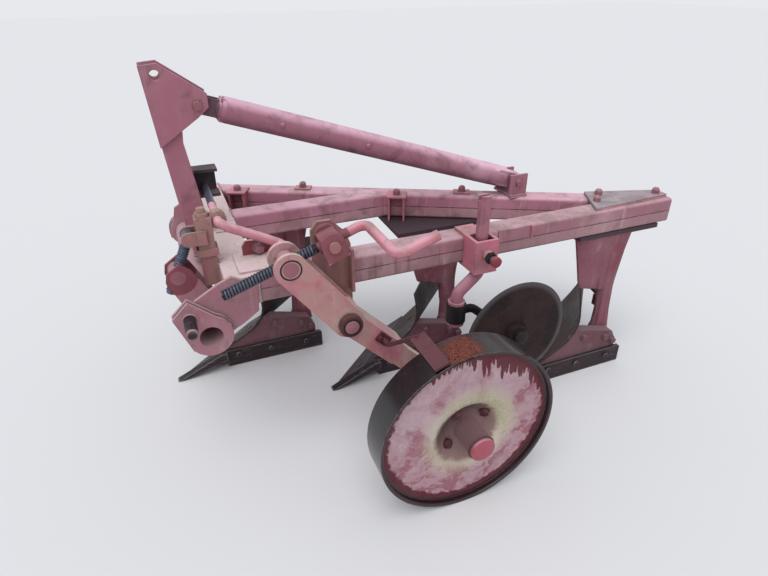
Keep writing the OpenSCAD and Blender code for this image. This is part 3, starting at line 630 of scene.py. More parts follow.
@dataclass(frozen=True)
class DiscCoat:
    """The coulter disc: brown-black iron rubbed in rings towards its edge."""

    name: str
    slot: str
    centre: Vector
    radius: float = 0.225
    brown: Shade = (54, 38, 38)
    black: Shade = (34, 28, 30)
    rust: Shade = (92, 58, 50)
    rubbed: Shade = (104, 98, 100)

    def build(self) -> bpy.types.Material:
        """Build the material.

        Returns:
            The finished material.
        """
        s = Surface(self.name, self.brown)
        seen = s.moved(self.centre)
        x, _, z = s.parts(seen)
        out = s.length(x, z)
        wide = s.noise(9, 4, 0.6, seen, 0.6)
        fine = s.noise(170, 4, 0.65, seen)
        ring = s.add("ShaderNodeCombineXYZ", sockets={0: out * 130.0})
        rings = s.noise(1, 3, 0.7, ring.outputs[0])
        s.lay(wide.band(0.4, 0.65), self.black)
        s.lay(fine.band(0.5, 0.7) * 0.45, self.rust)
        edge = out.band(self.radius - 0.03, self.radius - 0.006)
        s.lay(edge * (0.35 + rings * 0.5), self.rubbed)
        return s.close(0.5 + fine * 0.2 - edge * 0.12, fine + rings * 0.6, 0.5, 0.0004)


class Finish:
    """The plough's finishes, each built once and shared."""

    def __init__(self, wheel: Vector, disc: Vector, bearing: Vector, eye: Vector, tilt: Vector) -> None:
        """Build every finish.

        Args:
            wheel: Middle of the wheel's near rim plane.
            disc: Middle of the coulter's disc.
            bearing: Middle of the depth screw's bearing.
            eye: Middle of the pin at the brace's front end.
            tilt: Middle of the nut on the cross shaft.
        """
        pink = "faded_pink_paint"
        dusty = "dusty_paint"
        red = "red_paint"
        iron = "worn_iron"
        steel = "bright_steel"
        seam = 0.7145
        patch = wheel + Vector((-0.03, 0.05, 0.312))
        looks = [
            OldPaint("beam_paint", pink, paint=(186, 122, 142), chalk_and_highlight=(236, 192, 208), dust=(178, 158, 152),
                     run_share=0.3, seam=seam),
            OldPaint("clamp_paint", pink, paint=(190, 108, 124), chalk_and_highlight=(222, 160, 174), dust_share=0.4),
            OldPaint("side_beam_paint", pink, paint=(156, 104, 118), chalk_and_highlight=(214, 176, 186), dust_share=0.45,
                     run_share=0.5, moss_share=0.2, seam=seam),
            OldPaint("mast_paint", pink, paint=(162, 102, 118), chalk_and_highlight=(200, 156, 172), dust_share=0.25,
                     chip_share=0.5),
            OldPaint("brace_paint", pink, paint=(156, 102, 118), chalk_and_highlight=(232, 188, 208), deep_and_shade=(96, 54, 64),
                     dust_share=0.08, run_share=0.06, chip_share=0.2, chalk_highlight_share=0.95, zone=eye,
                     zone_size=0.079, zone_tone=(84, 66, 74)),
            OldPaint("crank_paint", pink, paint=(188, 108, 122), chalk_and_highlight=(236, 176, 192), deep_and_shade=(126, 58, 70),
                     dust=(172, 150, 140), dust_share=0.4, run_share=0.1, chip_share=0.5, zone=bearing),
            OldPaint("box_paint", dusty, paint=(190, 152, 158), chalk_and_highlight=(236, 214, 218), dust=(222, 204, 200),
                     dust_share=0.7, moss_share=0.25),
            OldPaint("cheek_paint", dusty, paint=(164, 108, 120), chalk_and_highlight=(196, 162, 170),
                     dust=(186, 168, 168), dust_share=0.45, moss_share=0.25),
            OldPaint("post_paint", dusty, paint=(158, 98, 106), chalk_and_highlight=(188, 150, 154), dust=(164, 142, 122),
                     dust_share=0.7, moss_share=0.6, run_share=0.4, chip_share=0.6),
            OldPaint("shaft_paint", dusty, paint=(162, 104, 116), chalk_and_highlight=(196, 162, 170),
                     dust=(186, 168, 168), dust_share=0.45, moss_share=0.25, zone=tilt, zone_size=0.07,
                     zone_tone=(124, 60, 72)),
            OldPaint("arm_paint", dusty, paint=(178, 106, 118), chalk_and_highlight=(222, 186, 190), dust=(208, 196, 176),
                     dust_share=0.75, moss_share=0.5, run_share=0.35, chip_share=0.5),
            OldPaint("leg_paint", pink, paint=(126, 62, 78), chalk_and_highlight=(162, 122, 136), deep_and_shade=(84, 28, 38),
                     dust_share=0.3, run_share=0.9, moss_share=0.25, crown=0.646),
            OldPaint("frog_paint", dusty, paint=(104, 54, 66), chalk_and_highlight=(134, 106, 114), dust=(124, 110, 112),
                     dust_share=0.55, moss_share=0.4, run_share=0.6, chip_share=0.8),
            OldPaint("gusset_paint", dusty, paint=(140, 118, 126), chalk_and_highlight=(186, 170, 178),
                     dust=(150, 142, 142), dust_share=0.6, moss_share=0.3, chip_share=0.6),
            OldPaint("bolt_paint", pink, paint=(146, 90, 100), chalk_and_highlight=(192, 148, 158), dust_share=0.3,
                     chip_share=0.9, run_share=0.0),
            OldPaint("red_paint", red, paint=(134, 50, 62), chalk_and_highlight=(160, 86, 98), deep_and_shade=(88, 28, 38),
                     dust_share=0.15, run_share=0.1),
            OldPaint("dark_bracket", iron, paint=(62, 54, 60), chalk_and_highlight=(96, 86, 92), deep_and_shade=(36, 30, 34),
                     dust_share=0.25, moss_share=0.2),
            OldPaint("scraper_rust", iron, paint=(80, 38, 44), chalk_and_highlight=(108, 66, 74), dust=(112, 80, 82),
                     deep_and_shade=(46, 24, 30), dust_share=0.2, chip_share=0.8),
            OldPaint("hub_cap_paint", red, paint=(168, 82, 96), chalk_and_highlight=(200, 146, 156), deep_and_shade=(130, 36, 48),
                     dust_share=0.2, chip_share=0.9, run_share=0.1),
            WornIron("board_iron", iron),
            WornIron("share_steel", steel, iron=(74, 66, 72), bright=(150, 146, 148), bright_share=0.8,
                     metal=0.6),
            WornIron("landside_steel", steel, iron=(56, 49, 54), bright=(146, 142, 144), bright_share=1.0,
                     bloom_share=0.3, metal=0.5, edge=0.01),
            WornIron("black_iron", iron, iron=(26, 23, 26), bloom=(56, 42, 40), bloom_share=0.3,
                     bright_share=0.2, metal=0.2),
            GreasedSteel("screw_steel", "greased_steel"),
            WheelCoat("wheel_coat", "wheel_iron", wheel, patch),
            DiscCoat("disc_coat", iron, disc),
        ]
        self.made = {look.name: (look.build(), look.slot) for look in looks}

    def wear(self, piece: Piece, name: str) -> None:
        """Give a piece one finish.

        Args:
            piece: The piece.
            name: Name of the finish.
        """
        material, slot = self.made[name]
        piece.data.materials.clear()
        piece.data.materials.append(material)
        if piece.data.attributes.get("material_index"):
            for face in piece.data.polygons:
                face.material_index = 0


def new_piece(name: str, mesh: Mesh) -> Piece:
    """Put a mesh into the scene as a piece at the origin.

    Args:
        name: Name of the piece.
        mesh: Its mesh.

    Returns:
        The piece.
    """
    piece = bpy.data.objects.new(name, mesh)
    bpy.context.scene.collection.objects.link(piece)
    return piece


def points_mesh(name: str, verts: Sequence[Vector], edges: Spots = (), faces: Sequence = ()) -> Mesh:
    """Make a mesh of points, edges and faces.

    Args:
        name: Name of the mesh.
        verts: Its points, in metres.
        edges: Pairs of points.
        faces: Rounds of points.

    Returns:
        The mesh.
    """
    mesh = bpy.data.meshes.new(name)
    mesh.from_pydata(verts, edges, faces)
    return mesh


def smooth(mesh: Mesh, angle: float) -> None:
    """Shade a mesh smooth but for edges sharper than an angle in radians."""
    mesh.shade_smooth()
    mesh.set_sharp_from_angle(angle=angle)


def outward(mesh: Mesh) -> None:
    """Merge a mesh's doubles and point its faces outwards.

    Args:
        mesh: The mesh, which is changed.
    """
    shell = bmesh.new()
    shell.from_mesh(mesh)
    bmesh.ops.remove_doubles(shell, verts=shell.verts, dist=OWN_MERGE)
    bmesh.ops.recalc_face_normals(shell, faces=shell.faces)
    shell.to_mesh(mesh)
    shell.free()


class Shop:
    """What the sub-assemblies share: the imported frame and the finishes."""

    def __init__(self, frame: dict, finish: Finish) -> None:
        """Keep the frame and the finishes.

        Args:
            frame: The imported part, as loaded.
            finish: The finishes.
        """
        bodies = frame["record"]["behaviour"]["bodies"]
        self.nodes = frame["nodes"]
        self.finish = finish
        self.body_of = {node: body for body, nodes in bodies.items() for node in nodes}
        self.trees: dict[str, BVHTree] = {}
        self.pieces = 0

    def soften(self, node: str, look: str, width: float) -> None:
        """Replace a CAD node by a copy with small rounded edges.

        Args:
            node: Name of the CAD node.
            look: Name of its finish.
            width: Width of the rounding in millimetres, or 0 for none.
        """
        mesh = self.nodes[node].data.copy()
        shell = bmesh.new()
        shell.from_mesh(mesh)
        bmesh.ops.remove_doubles(shell, verts=shell.verts, dist=CAD_MERGE)
        bmesh.ops.dissolve_limit(
            shell, angle_limit=FLAT_ANGLE, verts=shell.verts, edges=shell.edges, delimit={"NORMAL"}
        )
        shell.to_mesh(mesh)
        shell.free()
        smooth(mesh, SOFT_ANGLE)
        piece = new_piece(node + "_dressed", mesh)
        if width > 0:
            bevel = piece.modifiers.new("soft_edges", "BEVEL")
            bevel.width = width / 1000
            bevel.segments = 2
            bevel.limit_method = "ANGLE"
            bevel.angle_limit = SOFT_ANGLE
            bevel.harden_normals = True
            self.settle(piece)
        self.add(piece, look, self.body_of[node])
        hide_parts(node)

    def settle(self, piece: Piece) -> None:
        """Turn a piece's modifiers into its plain mesh.

        Args:
            piece: The piece.
        """
        bpy.context.view_layer.update()
        seen = piece.evaluated_get(bpy.context.evaluated_depsgraph_get())
        mesh = bpy.data.meshes.new_from_object(seen)
        piece.modifiers.clear()
        old = piece.data
        piece.data = mesh
        bpy.data.meshes.remove(old)

    def add(self, piece: Piece, look: str, body: str = "frame") -> None:
        """Finish a piece and let it ride on a body.

        Args:
            piece: The piece.
            look: Name of its finish.
            body: Body it rides on.
        """
        self.finish.wear(piece, look)
        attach(piece, body)
        self.pieces += 1

    def land(self, node: str, start: Vector, towards: Vector) -> tuple[Vector, Vector]:
        """Find where a ray first meets a CAD node.

        Args:
            node: Name of the CAD node.
            start: Start of the ray.
            towards: Its direction.

        Returns:
            The place met and the face's outward direction there.

        Raises:
            ValueError: If the ray misses the node.
        """
        if node not in self.trees:
            mesh = self.nodes[node].data
            self.trees[node] = BVHTree.FromPolygons(
                [v.co for v in mesh.vertices], [tuple(p.vertices) for p in mesh.polygons]
            )
        place, normal, _, _ = self.trees[node].ray_cast(start, towards)
        if place is None:
            raise ValueError(f"no face of {node} from {tuple(round(c, 3) for c in start)}")
        return place, normal if normal.dot(towards) < 0 else -normal


class Maker:
    """A Geometry Nodes tree that makes one kind of repeated piece."""

    title: str = ""
    sizes: tuple[str, ...] = ()
    sharp: float = 40.0

    def __init__(self, shop: Shop) -> None:
        """Build the tree, with its sizes and its finish as inputs.

        Args:
            shop: The shared frame and finishes.
        """
        self.shop = shop
        self.tree = bpy.data.node_groups.new(self.title, "GeometryNodeTree")
        face = self.tree.interface
        face.new_socket("Geometry", in_out="INPUT", socket_type="NodeSocketGeometry")
        kinds = dict.fromkeys(self.sizes, "NodeSocketFloat") | {"Finish": "NodeSocketMaterial"}
        self.inputs = [
            face.new_socket(name, in_out="INPUT", socket_type=kind).identifier for name, kind in kinds.items()
        ]
        face.new_socket("Geometry", in_out="OUTPUT", socket_type="NodeSocketGeometry")
        net = Net(self.tree)
        given = net.add("NodeGroupInput").outputs
        real = net.add("GeometryNodeRealizeInstances", sockets={0: self._fill(net, given)})
        sockets = {"Geometry": real.outputs[0], "Material": given["Finish"]}
        dressed = net.add("GeometryNodeSetMaterial", sockets=sockets)
        net.add("NodeGroupOutput", sockets={0: dressed.outputs[0]})

    def _fill(self, net: Net, given: bpy.types.NodeOutputs) -> Socket:
        """Add the nodes between the inputs and the end."""
        raise NotImplementedError

    @staticmethod
    def _spread(net: Net, points: Socket, shape: Socket, turn: Socket, scale: Socket) -> Socket:
        """Put a shape on every point, turned and scaled."""
        sockets = {"Points": points, "Instance": shape, "Rotation": turn, "Scale": scale}
        return net.add("GeometryNodeInstanceOnPoints", sockets=sockets).outputs[0]

    def grow(
        self,
        mesh: Mesh,
        sizes: Sequence[float],
        look: str,
        body: str = "frame",
        place: Matrix | None = None,
    ) -> None:
        """Run the tree on a mesh and keep the result as one plain piece.

        Args:
            mesh: Points or lines to grow on, with the piece's name.
            sizes: Values of the tree's sizes, in order.
            look: Name of its finish.
            body: Body it rides on.
            place: Where a piece that grew at the origin is put.
        """
        piece = new_piece(mesh.name, mesh)
        run = piece.modifiers.new("maker", "NODES")
        run.node_group = self.tree
        for key, value in zip(self.inputs, (*sizes, self.shop.finish.made[look][0])):
            run[key] = value
        self.shop.settle(piece)
        if place is not None:
            piece.data.transform(place)
            outward(piece.data)
        smooth(piece.data, math.radians(self.sharp))
        self.shop.add(piece, look, body)


@dataclass(frozen=True)
class Bolt:
    """One fastener: the node it sits on, a start in drawing millimetres and the way to its seat."""

    node: str
    start: Point
    towards: Vector
    size: float = 1.0


class BoltKind(Enum):
    """Heads: name, corners, seed, then radii and heights in millimetres in the order of the maker's sizes."""

    HEX = ("hex", 6, 7, 17.0, 14.0, 12.0, 1.5)
    STUD = ("stud", 6, 11, 16.0, 14.5, 13.0, 7.0)
    FLUSH = ("flush", 20, 7, 11.0, 11.5, 0.8, 0.6)
    ROUND = ("round", 20, 7, 0.0, 13.0, 4.0, 4.0)


class BoltMaker(Maker):
    """Seats one kind of bolt head on marked points."""

    sizes: tuple[str, ...] = ("Washer radius", "Head radius", "Head height", "Dome height")
    washer: float = 0.004
    taper: float = 0.62

    def __init__(self, shop: Shop, kind: BoltKind) -> None:
        """Build the tree for one kind.

        Args:
            shop: The shared frame and finishes.
            kind: The kind of head.
        """
        name, self.corners, self.seed, *self.values = kind.value
        self.title = f"seat_{name}_heads"
        super().__init__(shop)

    def _fill(self, net: Net, given: bpy.types.NodeOutputs) -> Socket:
        """Stack washer, head and dome, and seat them with a random turn.

        Args:
            net: The tree.
            given: The tree's inputs.

        Returns:
            The geometry made.
        """
        radius, height = given["Head radius"], given["Head height"]
        sockets = {"Vertices": 20, "Radius": given["Washer radius"], "Depth": self.washer}
        washer = net.add("GeometryNodeMeshCylinder", sockets=sockets)
        sockets = {"Vertices": self.corners, "Radius": radius, "Depth": height}
        head = net.add("GeometryNodeMeshCylinder", sockets=sockets)
        sockets = {"Vertices": self.corners, "Radius Bottom": radius, "Depth": given["Dome height"]}
        dome = net.add("GeometryNodeMeshCone", sockets=sockets)
        net.feed(dome.inputs["Radius Top"], Amount(net, radius) * self.taper)
        whole = net.add("GeometryNodeJoinGeometry", sockets={0: washer.outputs["Mesh"]})
        for part, share in ((head, 0.5), (dome, 1.0)):
            level = self.washer / 2 + Amount(net, height) * share
            lift = net.add("ShaderNodeCombineXYZ", sockets={"Z": level})
            sockets = {"Geometry": part.outputs["Mesh"], "Translation": lift.outputs[0]}
            net.feed(whole.inputs[0], net.add("GeometryNodeTransform", sockets=sockets).outputs[0])
        axis = net.add("GeometryNodeInputNamedAttribute", {"data_type": "FLOAT_VECTOR"}, {"Name": "axis"})
        scale = net.add("GeometryNodeInputNamedAttribute", {"data_type": "FLOAT"}, {"Name": "size"})
        turn = net.add("FunctionNodeAlignRotationToVector", {"axis": "Z"}, {"Vector": axis.outputs[0]})
        spin = net.chance("FLOAT", 0.0, 3.1, self.seed)
        about = net.add("FunctionNodeAxisAngleToRotation", sockets={"Axis": (0, 0, 1), "Angle": spin})
        turns = {0: turn.outputs[0], 1: about.outputs[0]}
        both = net.add("FunctionNodeRotateRotation", {"rotation_space": "LOCAL"}, turns)
        return self._spread(net, given["Geometry"], whole.outputs[0], both.outputs[0], scale.outputs[0])

    def seat(self, name: str, look: str, bolts: Sequence[Bolt], body: str = "frame") -> None:
        """Seat bolts and keep them as one plain mesh.

        Args:
            name: Name of the piece.
            look: Name of their finish.
            bolts: Where they go.
            body: Body they ride on.
        """
        seats = [self.shop.land(bolt.node, at(*bolt.start), bolt.towards) for bolt in bolts]
        mesh = points_mesh(name, [place for place, _ in seats])
        axes = mesh.attributes.new("axis", "FLOAT_VECTOR", "POINT")
        axes.data.foreach_set("vector", [c for _, normal in seats for c in normal])
        scales = mesh.attributes.new("size", "FLOAT", "POINT")
        scales.data.foreach_set("value", [bolt.size for bolt in bolts])
        self.grow(mesh, [value / 1000 for value in self.values], look, body)


class ThreadMaker(Maker):
    """Winds a thread round a screw."""

    title: str = "wind_thread"
    sizes: tuple[str, ...] = ("Radius", "Length", "Turns", "Rib")
    sharp: float = 50.0
    rib_share: float = 0.33
    look: str = "screw_steel"

    def _fill(self, net: Net, given: bpy.types.NodeOutputs) -> Socket:
        """Wind a spiral and give it a round rib.

        Args:
            net: The tree.
            given: The tree's inputs.

        Returns:
            The geometry made.
        """
        radius = given["Radius"]
        sockets = {"Resolution": 20, "Rotations": given["Turns"], "Height": given["Length"]}
        sockets |= {"Start Radius": radius, "End Radius": radius}
        path = net.add("GeometryNodeCurveSpiral", sockets=sockets)
        rib = net.add("GeometryNodeCurvePrimitiveCircle", sockets={"Resolution": 6, "Radius": given["Rib"]})
        sockets = {"Curve": path.outputs[0], "Profile Curve": rib.outputs[0], "Fill Caps": True}
        return net.add("GeometryNodeCurveToMesh", sockets=sockets).outputs[0]

    def wind(
        self,
        name: str,
        foot: Vector,
        axis: Vector,
        start: float,
        end: float,
        radius: float,
        pitch: float,
        body: str = "frame",
    ) -> None:
        """Wind a thread on a part of a screw.

        Args:
            name: Name of the piece.
            foot: Foot of the screw, in metres.
            axis: Its axis.
            start: Start of the thread in millimetres from the foot.
            end: End of the thread in millimetres from the foot.
            radius: Radius of the screw in millimetres.
            pitch: Distance between turns in millimetres.
            body: Body that it rides on.
        """
        low, high = (foot + axis * (place / 1000) for place in (start, end))
        along = high - low
        turn = along.to_track_quat("Z", "Y").to_matrix().to_4x4()
        sizes = (radius / 1000, along.length, along.length * 1000 / pitch, pitch * self.rib_share / 1000)
        self.grow(points_mesh(name, [(0, 0, 0)]), sizes, self.look, body, Matrix.Translation(low) @ turn)


class WeldMaker(Maker):
    """Lays overlapping weld drops along lines."""

    title: str = "lay_weld"
    sizes: tuple[str, ...] = ("Width", "Step")
    sharp: float = 80.0
    seed: int = 3
    width: float = 4.5

    def _fill(self, net: Net, given: bpy.types.NodeOutputs) -> Socket:
        """Set a flattened drop on every step of the lines.

        Args:
            net: The tree.
            given: The tree's inputs.

        Returns:
            The geometry made.
        """
        lines = net.add("GeometryNodeMeshToCurve", sockets={"Mesh": given["Geometry"]})
        sockets = {"Curve": lines.outputs[0], "Length": given["Step"]}
        points = net.add("GeometryNodeCurveToPoints", {"mode": "LENGTH"}, sockets).outputs
        sockets = {"Segments": 8, "Rings": 5, "Radius": given["Width"]}
        drop = net.add("GeometryNodeMeshUVSphere", sockets=sockets)
        scale = net.chance("FLOAT_VECTOR", (0.8, 0.8, 0.45), (1.15, 1.15, 0.7), self.seed)
        return self._spread(net, points["Points"], drop.outputs["Mesh"], points["Rotation"], scale)

    def lay(self, name: str, look: str, *lines: Sequence[Point]) -> None:
        """Lay weld beads on the frame.

        Args:
            name: Name of the piece.
            look: Name of their finish.
            lines: Corner points of each bead in drawing millimetres.
        """
        verts, edges = [], []
        for line in lines:
            base = len(verts)
            verts += [at(*p) for p in line]
            edges += [(base + i, base + i + 1) for i in range(len(line) - 1)]
        self.grow(points_mesh(name, verts, edges), (self.width / 1000, self.width * 1.1 / 1000), look)


def circle(centre: Vector, first: Vector, second: Vector, radius: float, sides: int) -> list[Vector]:
    """Return points round a centre, with the radius in millimetres."""
    angles = [2 * math.pi * i / sides for i in range(sides)]
    return [centre + (first * math.cos(a) + second * math.sin(a)) * radius / 1000 for a in angles]


def skin(
    name: str, rings: Sequence[Sequence[Vector]], angle: float | None = None, closed: bool = False
) -> Piece:
    """Join rings of points into one closed shell.

    Args:
        name: Name of the piece.
        rings: Rings of as many points each.
        angle: Edges sharper than this many degrees stay sharp, or none for flat faces.
        closed: Whether the last ring meets the first; otherwise both ends are capped.

    Returns:
        The piece.
    """
    count, sides = len(rings), len(rings[0])
    faces = []
    for row in range(count if closed else count - 1):
        low, high = row * sides, (row + 1) % count * sides
        for i in range(sides):
            j = (i + 1) % sides
            faces.append((low + i, low + j, high + j, high + i))
    if not closed:
        faces.append(tuple(range(sides))[::-1])
        faces.append(tuple(range((count - 1) * sides, count * sides)))
    mesh = points_mesh(name, [p for ring in rings for p in ring], (), faces)
    outward(mesh)
    if angle is not None:
        smooth(mesh, math.radians(angle))
    return new_piece(name, mesh)


def lathe(name: str, profile: Spots, foot: Vector, axis: Vector, sides: int = 32) -> Piece:
    """Turn a closed round piece.

    Args:
        name: Name of the piece.
        profile: Radius and height pairs in millimetres, from the foot up.
        foot: Foot of the piece, in metres.
        axis: Its axis.
        sides: Faces round it.

    Returns:
        The piece.
    """
    first, second, up = axis.to_track_quat("Z", "Y").to_matrix().transposed()
    return skin(name, [circle(foot + up * z / 1000, first, second, r, sides) for r, z in profile], 40)


def wire(name: str, points: Sequence[Vector], radius: float, closed: bool = False) -> Piece:
    """Bend a round wire through points.

    Args:
        name: Name of the piece.
        points: Its middle line, in metres.
        radius: Its radius in millimetres.
        closed: Whether it is a ring.

    Returns:
        The piece.
    """
    count = len(points)
    rings = []
    side = None
    for i, p in enumerate(points):
        before = points[i - 1] if closed or i else p
        after = points[(i + 1) % count] if closed or i < count - 1 else p
        along = (after - before).normalized()
        if side is None:
            side = along.orthogonal().normalized()
        side = (side - along * side.dot(along)).normalized()
        rings.append(circle(p, side, along.cross(side), radius, WIRE_SIDES))
    return skin(name, rings, 60, closed)


def plate(name: str, outline: Spots, corner: Point, thick: float) -> Piece:
    """Cut a flat upright plate along the beams.

    Args:
        name: Name of the piece.
        outline: Its corners in millimetres, rearwards and up from its corner.
        corner: Where the outline's 0, 0 lies, in drawing millimetres.
        thick: Its thickness in millimetres, towards the near side.

    Returns:
        The piece.
    """
    back = [at(*corner) + (REAR * a + UP * b) / 1000 for a, b in outline]
    return skin(name, [back, [p + NEAR * thick / 1000 for p in back]])


def hoop(name: str, centre: Vector, axis: Vector, radius: float, thick: float) -> Piece:
    """Bend a closed ring.

    Args:
        name: Name of the piece.
        centre: Its centre, in metres.
        axis: Its axis, of length 1.
        radius: Radius of its middle line in millimetres.
        thick: Radius of its wire in millimetres.

    Returns:
        The ring.
    """
    first = axis.orthogonal().normalized()
    return wire(name, circle(centre, first, axis.cross(first), radius, 36), thick, True)


def split_pin(name: str, centre: Vector, through: Vector, along: Vector, reach: float) -> Piece:
    """Bend a split pin through a bar.

    Args:
        name: Name of the piece.
        centre: Where it crosses the bar's axis, in metres.
        through: The way it goes through, eye first.
        along: The bar's own axis.
        reach: Half its length in millimetres.

    Returns:
        The pin.
    """
    turns = [(-reach - 8, 0), (-reach - 4, 5), (-reach + 2, 2), (0, 0), (reach, 0), (reach + 8, 6)]
    return wire(name, [centre + (through * a + along * b) / 1000 for a, b in turns], 2.2)


class Tools:
    """The makers of small repeated pieces."""

    def __init__(self, shop: Shop) -> None:
        """Build each maker once.

        Args:
            shop: The shared frame and finishes.
        """
        self.hex_heads, self.studs, self.flush, self.rounds = (BoltMaker(shop, kind) for kind in BoltKind)
        self.threads = ThreadMaker(shop)
        self.welds = WeldMaker(shop)


@dataclass
class SubAssembly:
    """A group of pieces, with the shop and the tools that build it."""

    shop: Shop
    tools: Tools

    def dress(self, *rows: tuple[str, str, float]) -> None:
        """Soften CAD nodes, each given by its name, its finish and its rounding."""
        for node, look, width in rows:
            self.shop.soften(node, look, width)


@dataclass
class Beams(SubAssembly):
    """The three beams, their rear gusset and the clamps of the legs."""

    top: float = 767.0
    low: float = 662.0
    main_start: float = -112.0
    main_foot: float = 678.0
    slope: float = 330 / 630
    box_rear: float = 235.0
    above: float = 900.0
    clamp_studs: Spots = ((328, -62), (578, 3), (958, -62), (1208, 3))
    gusset_studs: Sequence[Point] = ((1720, -290, 1.1), (1660, -350, 1.0), (1958, -372, 1.1))

    def beside(self, x: float, across: float, z: float) -> Point:
        """Return a point measured across the main beam from its middle line at x.

        Args:
            x: Place of the middle line.
            across: Distance from it, square to the beam.
            z: Height.

        Returns:
            The point in drawing millimetres.
        """
        turn = math.atan(self.slope)
        middle = self.main_foot - self.slope * (x - self.main_start)
        return (x + across * math.sin(turn), middle + across * math.cos(turn), z)

    def build(self) -> None:
        """Dress the beams and add bolts, welds and the patch."""
        self.dress(
            ("main_beam", "beam_paint", 0.8),
            ("middle_beam", "beam_paint", 0.8),
            ("side_beam", "side_beam_paint", 0.8),
            ("rear_gusset", "gusset_paint", 2.0),
            ("leg_clamps", "clamp_paint", 1.2),
        )
        heads = [Bolt("leg_clamps", self.beside(x, y, self.above), DOWN, 1.1) for x, y in self.clamp_studs]
        heads += [Bolt("rear_gusset", (x, y, self.above), DOWN, size) for x, y, size in self.gusset_studs]
        self.tools.studs.seat("beam_bolts", "bolt_paint", heads)
        x, top = self.box_rear, self.top
        self.tools.welds.lay(
            "beam_welds",
            "clamp_paint",
            [(x, -334, self.low + 8), (x, -334, top), (x, -430, top)],
            [(x, 105, top), (x, 195, top)],
            [(x, 440, top), (x, 545, top)],
            [(1626, -416, top + 1), (1990, -400, top + 1)],
        )
        self._patch()

    def _patch(self) -> None:
        """Add the patch plate and its lug on the near face of the side beam."""
        outline = [(0, 1), (148, 1), (148, 53), (70, 50), (0, 52)]
        self.shop.add(plate("side_beam_patch", outline, (1134, -429, 714.5), 4.0), "side_beam_paint")
        outline = [(0, 0), (7, 0), (7, 46), (0, 46)]
        self.shop.add(plate("side_beam_lug", outline, (1277, -429, 720), 12.0), "clamp_paint")


@dataclass
class Headstock(SubAssembly):
    """The cross box, cheeks, posts, mast and the brace with its pins."""

    eye: Point = (158, 0, 1231)
    brace_foot: Point = (1408, -90, 828)
    brace_radius: float = 44.5
    skin_lift: float = 0.4
    skin_start: float = 98.0
    skin_end: float = 116.0
    chamfer: float = 2.0

    def build(self) -> None:
        """Dress the pieces and add the nut, the bracket's and the brace's small pieces and the welds."""
        self.dress(
            ("headstock_box", "box_paint", 3.0),
            ("headstock_cheeks", "cheek_paint", 1.2),
            ("headstock_post", "post_paint", 1.2),
            ("mast_plates", "mast_paint", 1.2),
            ("mast_post", "mast_paint", 3.0),
            ("crank_bracket", "dark_bracket", 1.5),
            ("lateral_crank", "crank_paint", 0.0),
            ("brace_tube", "brace_paint", 1.0),
            ("brace_pins", "bolt_paint", 1.5),
            ("brace_bracket", "mast_paint", 1.2),
        )
        nut = Bolt("headstock_box", (262, -420, 801), FAR, 1.35)
        self.tools.hex_heads.seat("lug_nut", "bolt_paint", [nut])
        self._bracket()
        self._brace()
        self.tools.welds.lay(
            "headstock_welds",
            "cheek_paint",
            [(124, -295, 700), (124, -295, 765)],
            [(60, -36, 690), (124, -36, 700)],
            [(153, -36, 767), (200, -36, 767)],
            [(1368, -157, 768), (1448, -157, 768)],
        )

    def _bracket(self) -> None:
        """Add the crank bracket's web, the dark end of the crank's rod and a red sheet that paints shade on
        the lug's face.
        """
        outline = [(0, 0), (84, 0), (84, 81), (0, 81)]
        self.shop.add(plate("crank_bracket_web", outline, (106, 98, 896.5), 6.0), "dark_bracket")
        profile = [(13.4, 0), (13.4, 208), (14.6, 209), (14.6, 214)]
        self.shop.add(lathe("crank_rod_steel", profile, at(145, 74, 916), NEAR), "screw_steel")
        # Painted shade: a thin red sheet over the lug's near face stands in for the crank rod's shadow.
        outline = [(1, 1), (107, 1), (107, 23), (81, 49), (14, 53), (1, 36)]
        self.shop.add(plate("stay_lug_shade_sheet", outline, (207, -291.8, 777), 1.4), "red_paint")

    def _brace(self) -> None:
        """Add the brace's neck, its round skin, its nubs and the split pins at both ends."""
        eye = at(*self.eye)
        run = at(*self.brace_foot) - eye
        along = run.normalized()
        neck = [(38, -84), (37, -76), (33, -68), (26, -62), (16, -59)]
        self.shop.add(lathe("brace_neck", neck, eye, -along), "brace_paint")
        inner, outer = self.brace_radius - 3, self.brace_radius + self.skin_lift
        start, end = self.skin_start, run.length * 1000 - self.skin_end
        ends = [(inner, start - self.chamfer), (outer, start), (outer, end), (inner, end + self.chamfer)]
        self.shop.add(lathe("brace_skin", ends, eye, along, 64), "brace_paint")
        nubs = [Bolt("brace_tube", (x, -300, z), FAR, 0.7) for x, z in ((433, 1143), (746, 1042))]
        self.tools.rounds.seat("brace_nubs", "brace_paint", nubs)
        for end_name, (x, _, z), y in (("front", self.eye, -59), ("rear", self.brace_foot, -153)):
            pin = split_pin(f"{end_name}_pin_cotter", at(x, y, z), way(0.6, 0, 1), NEAR, 19)
            self.shop.add(pin, "bolt_paint")


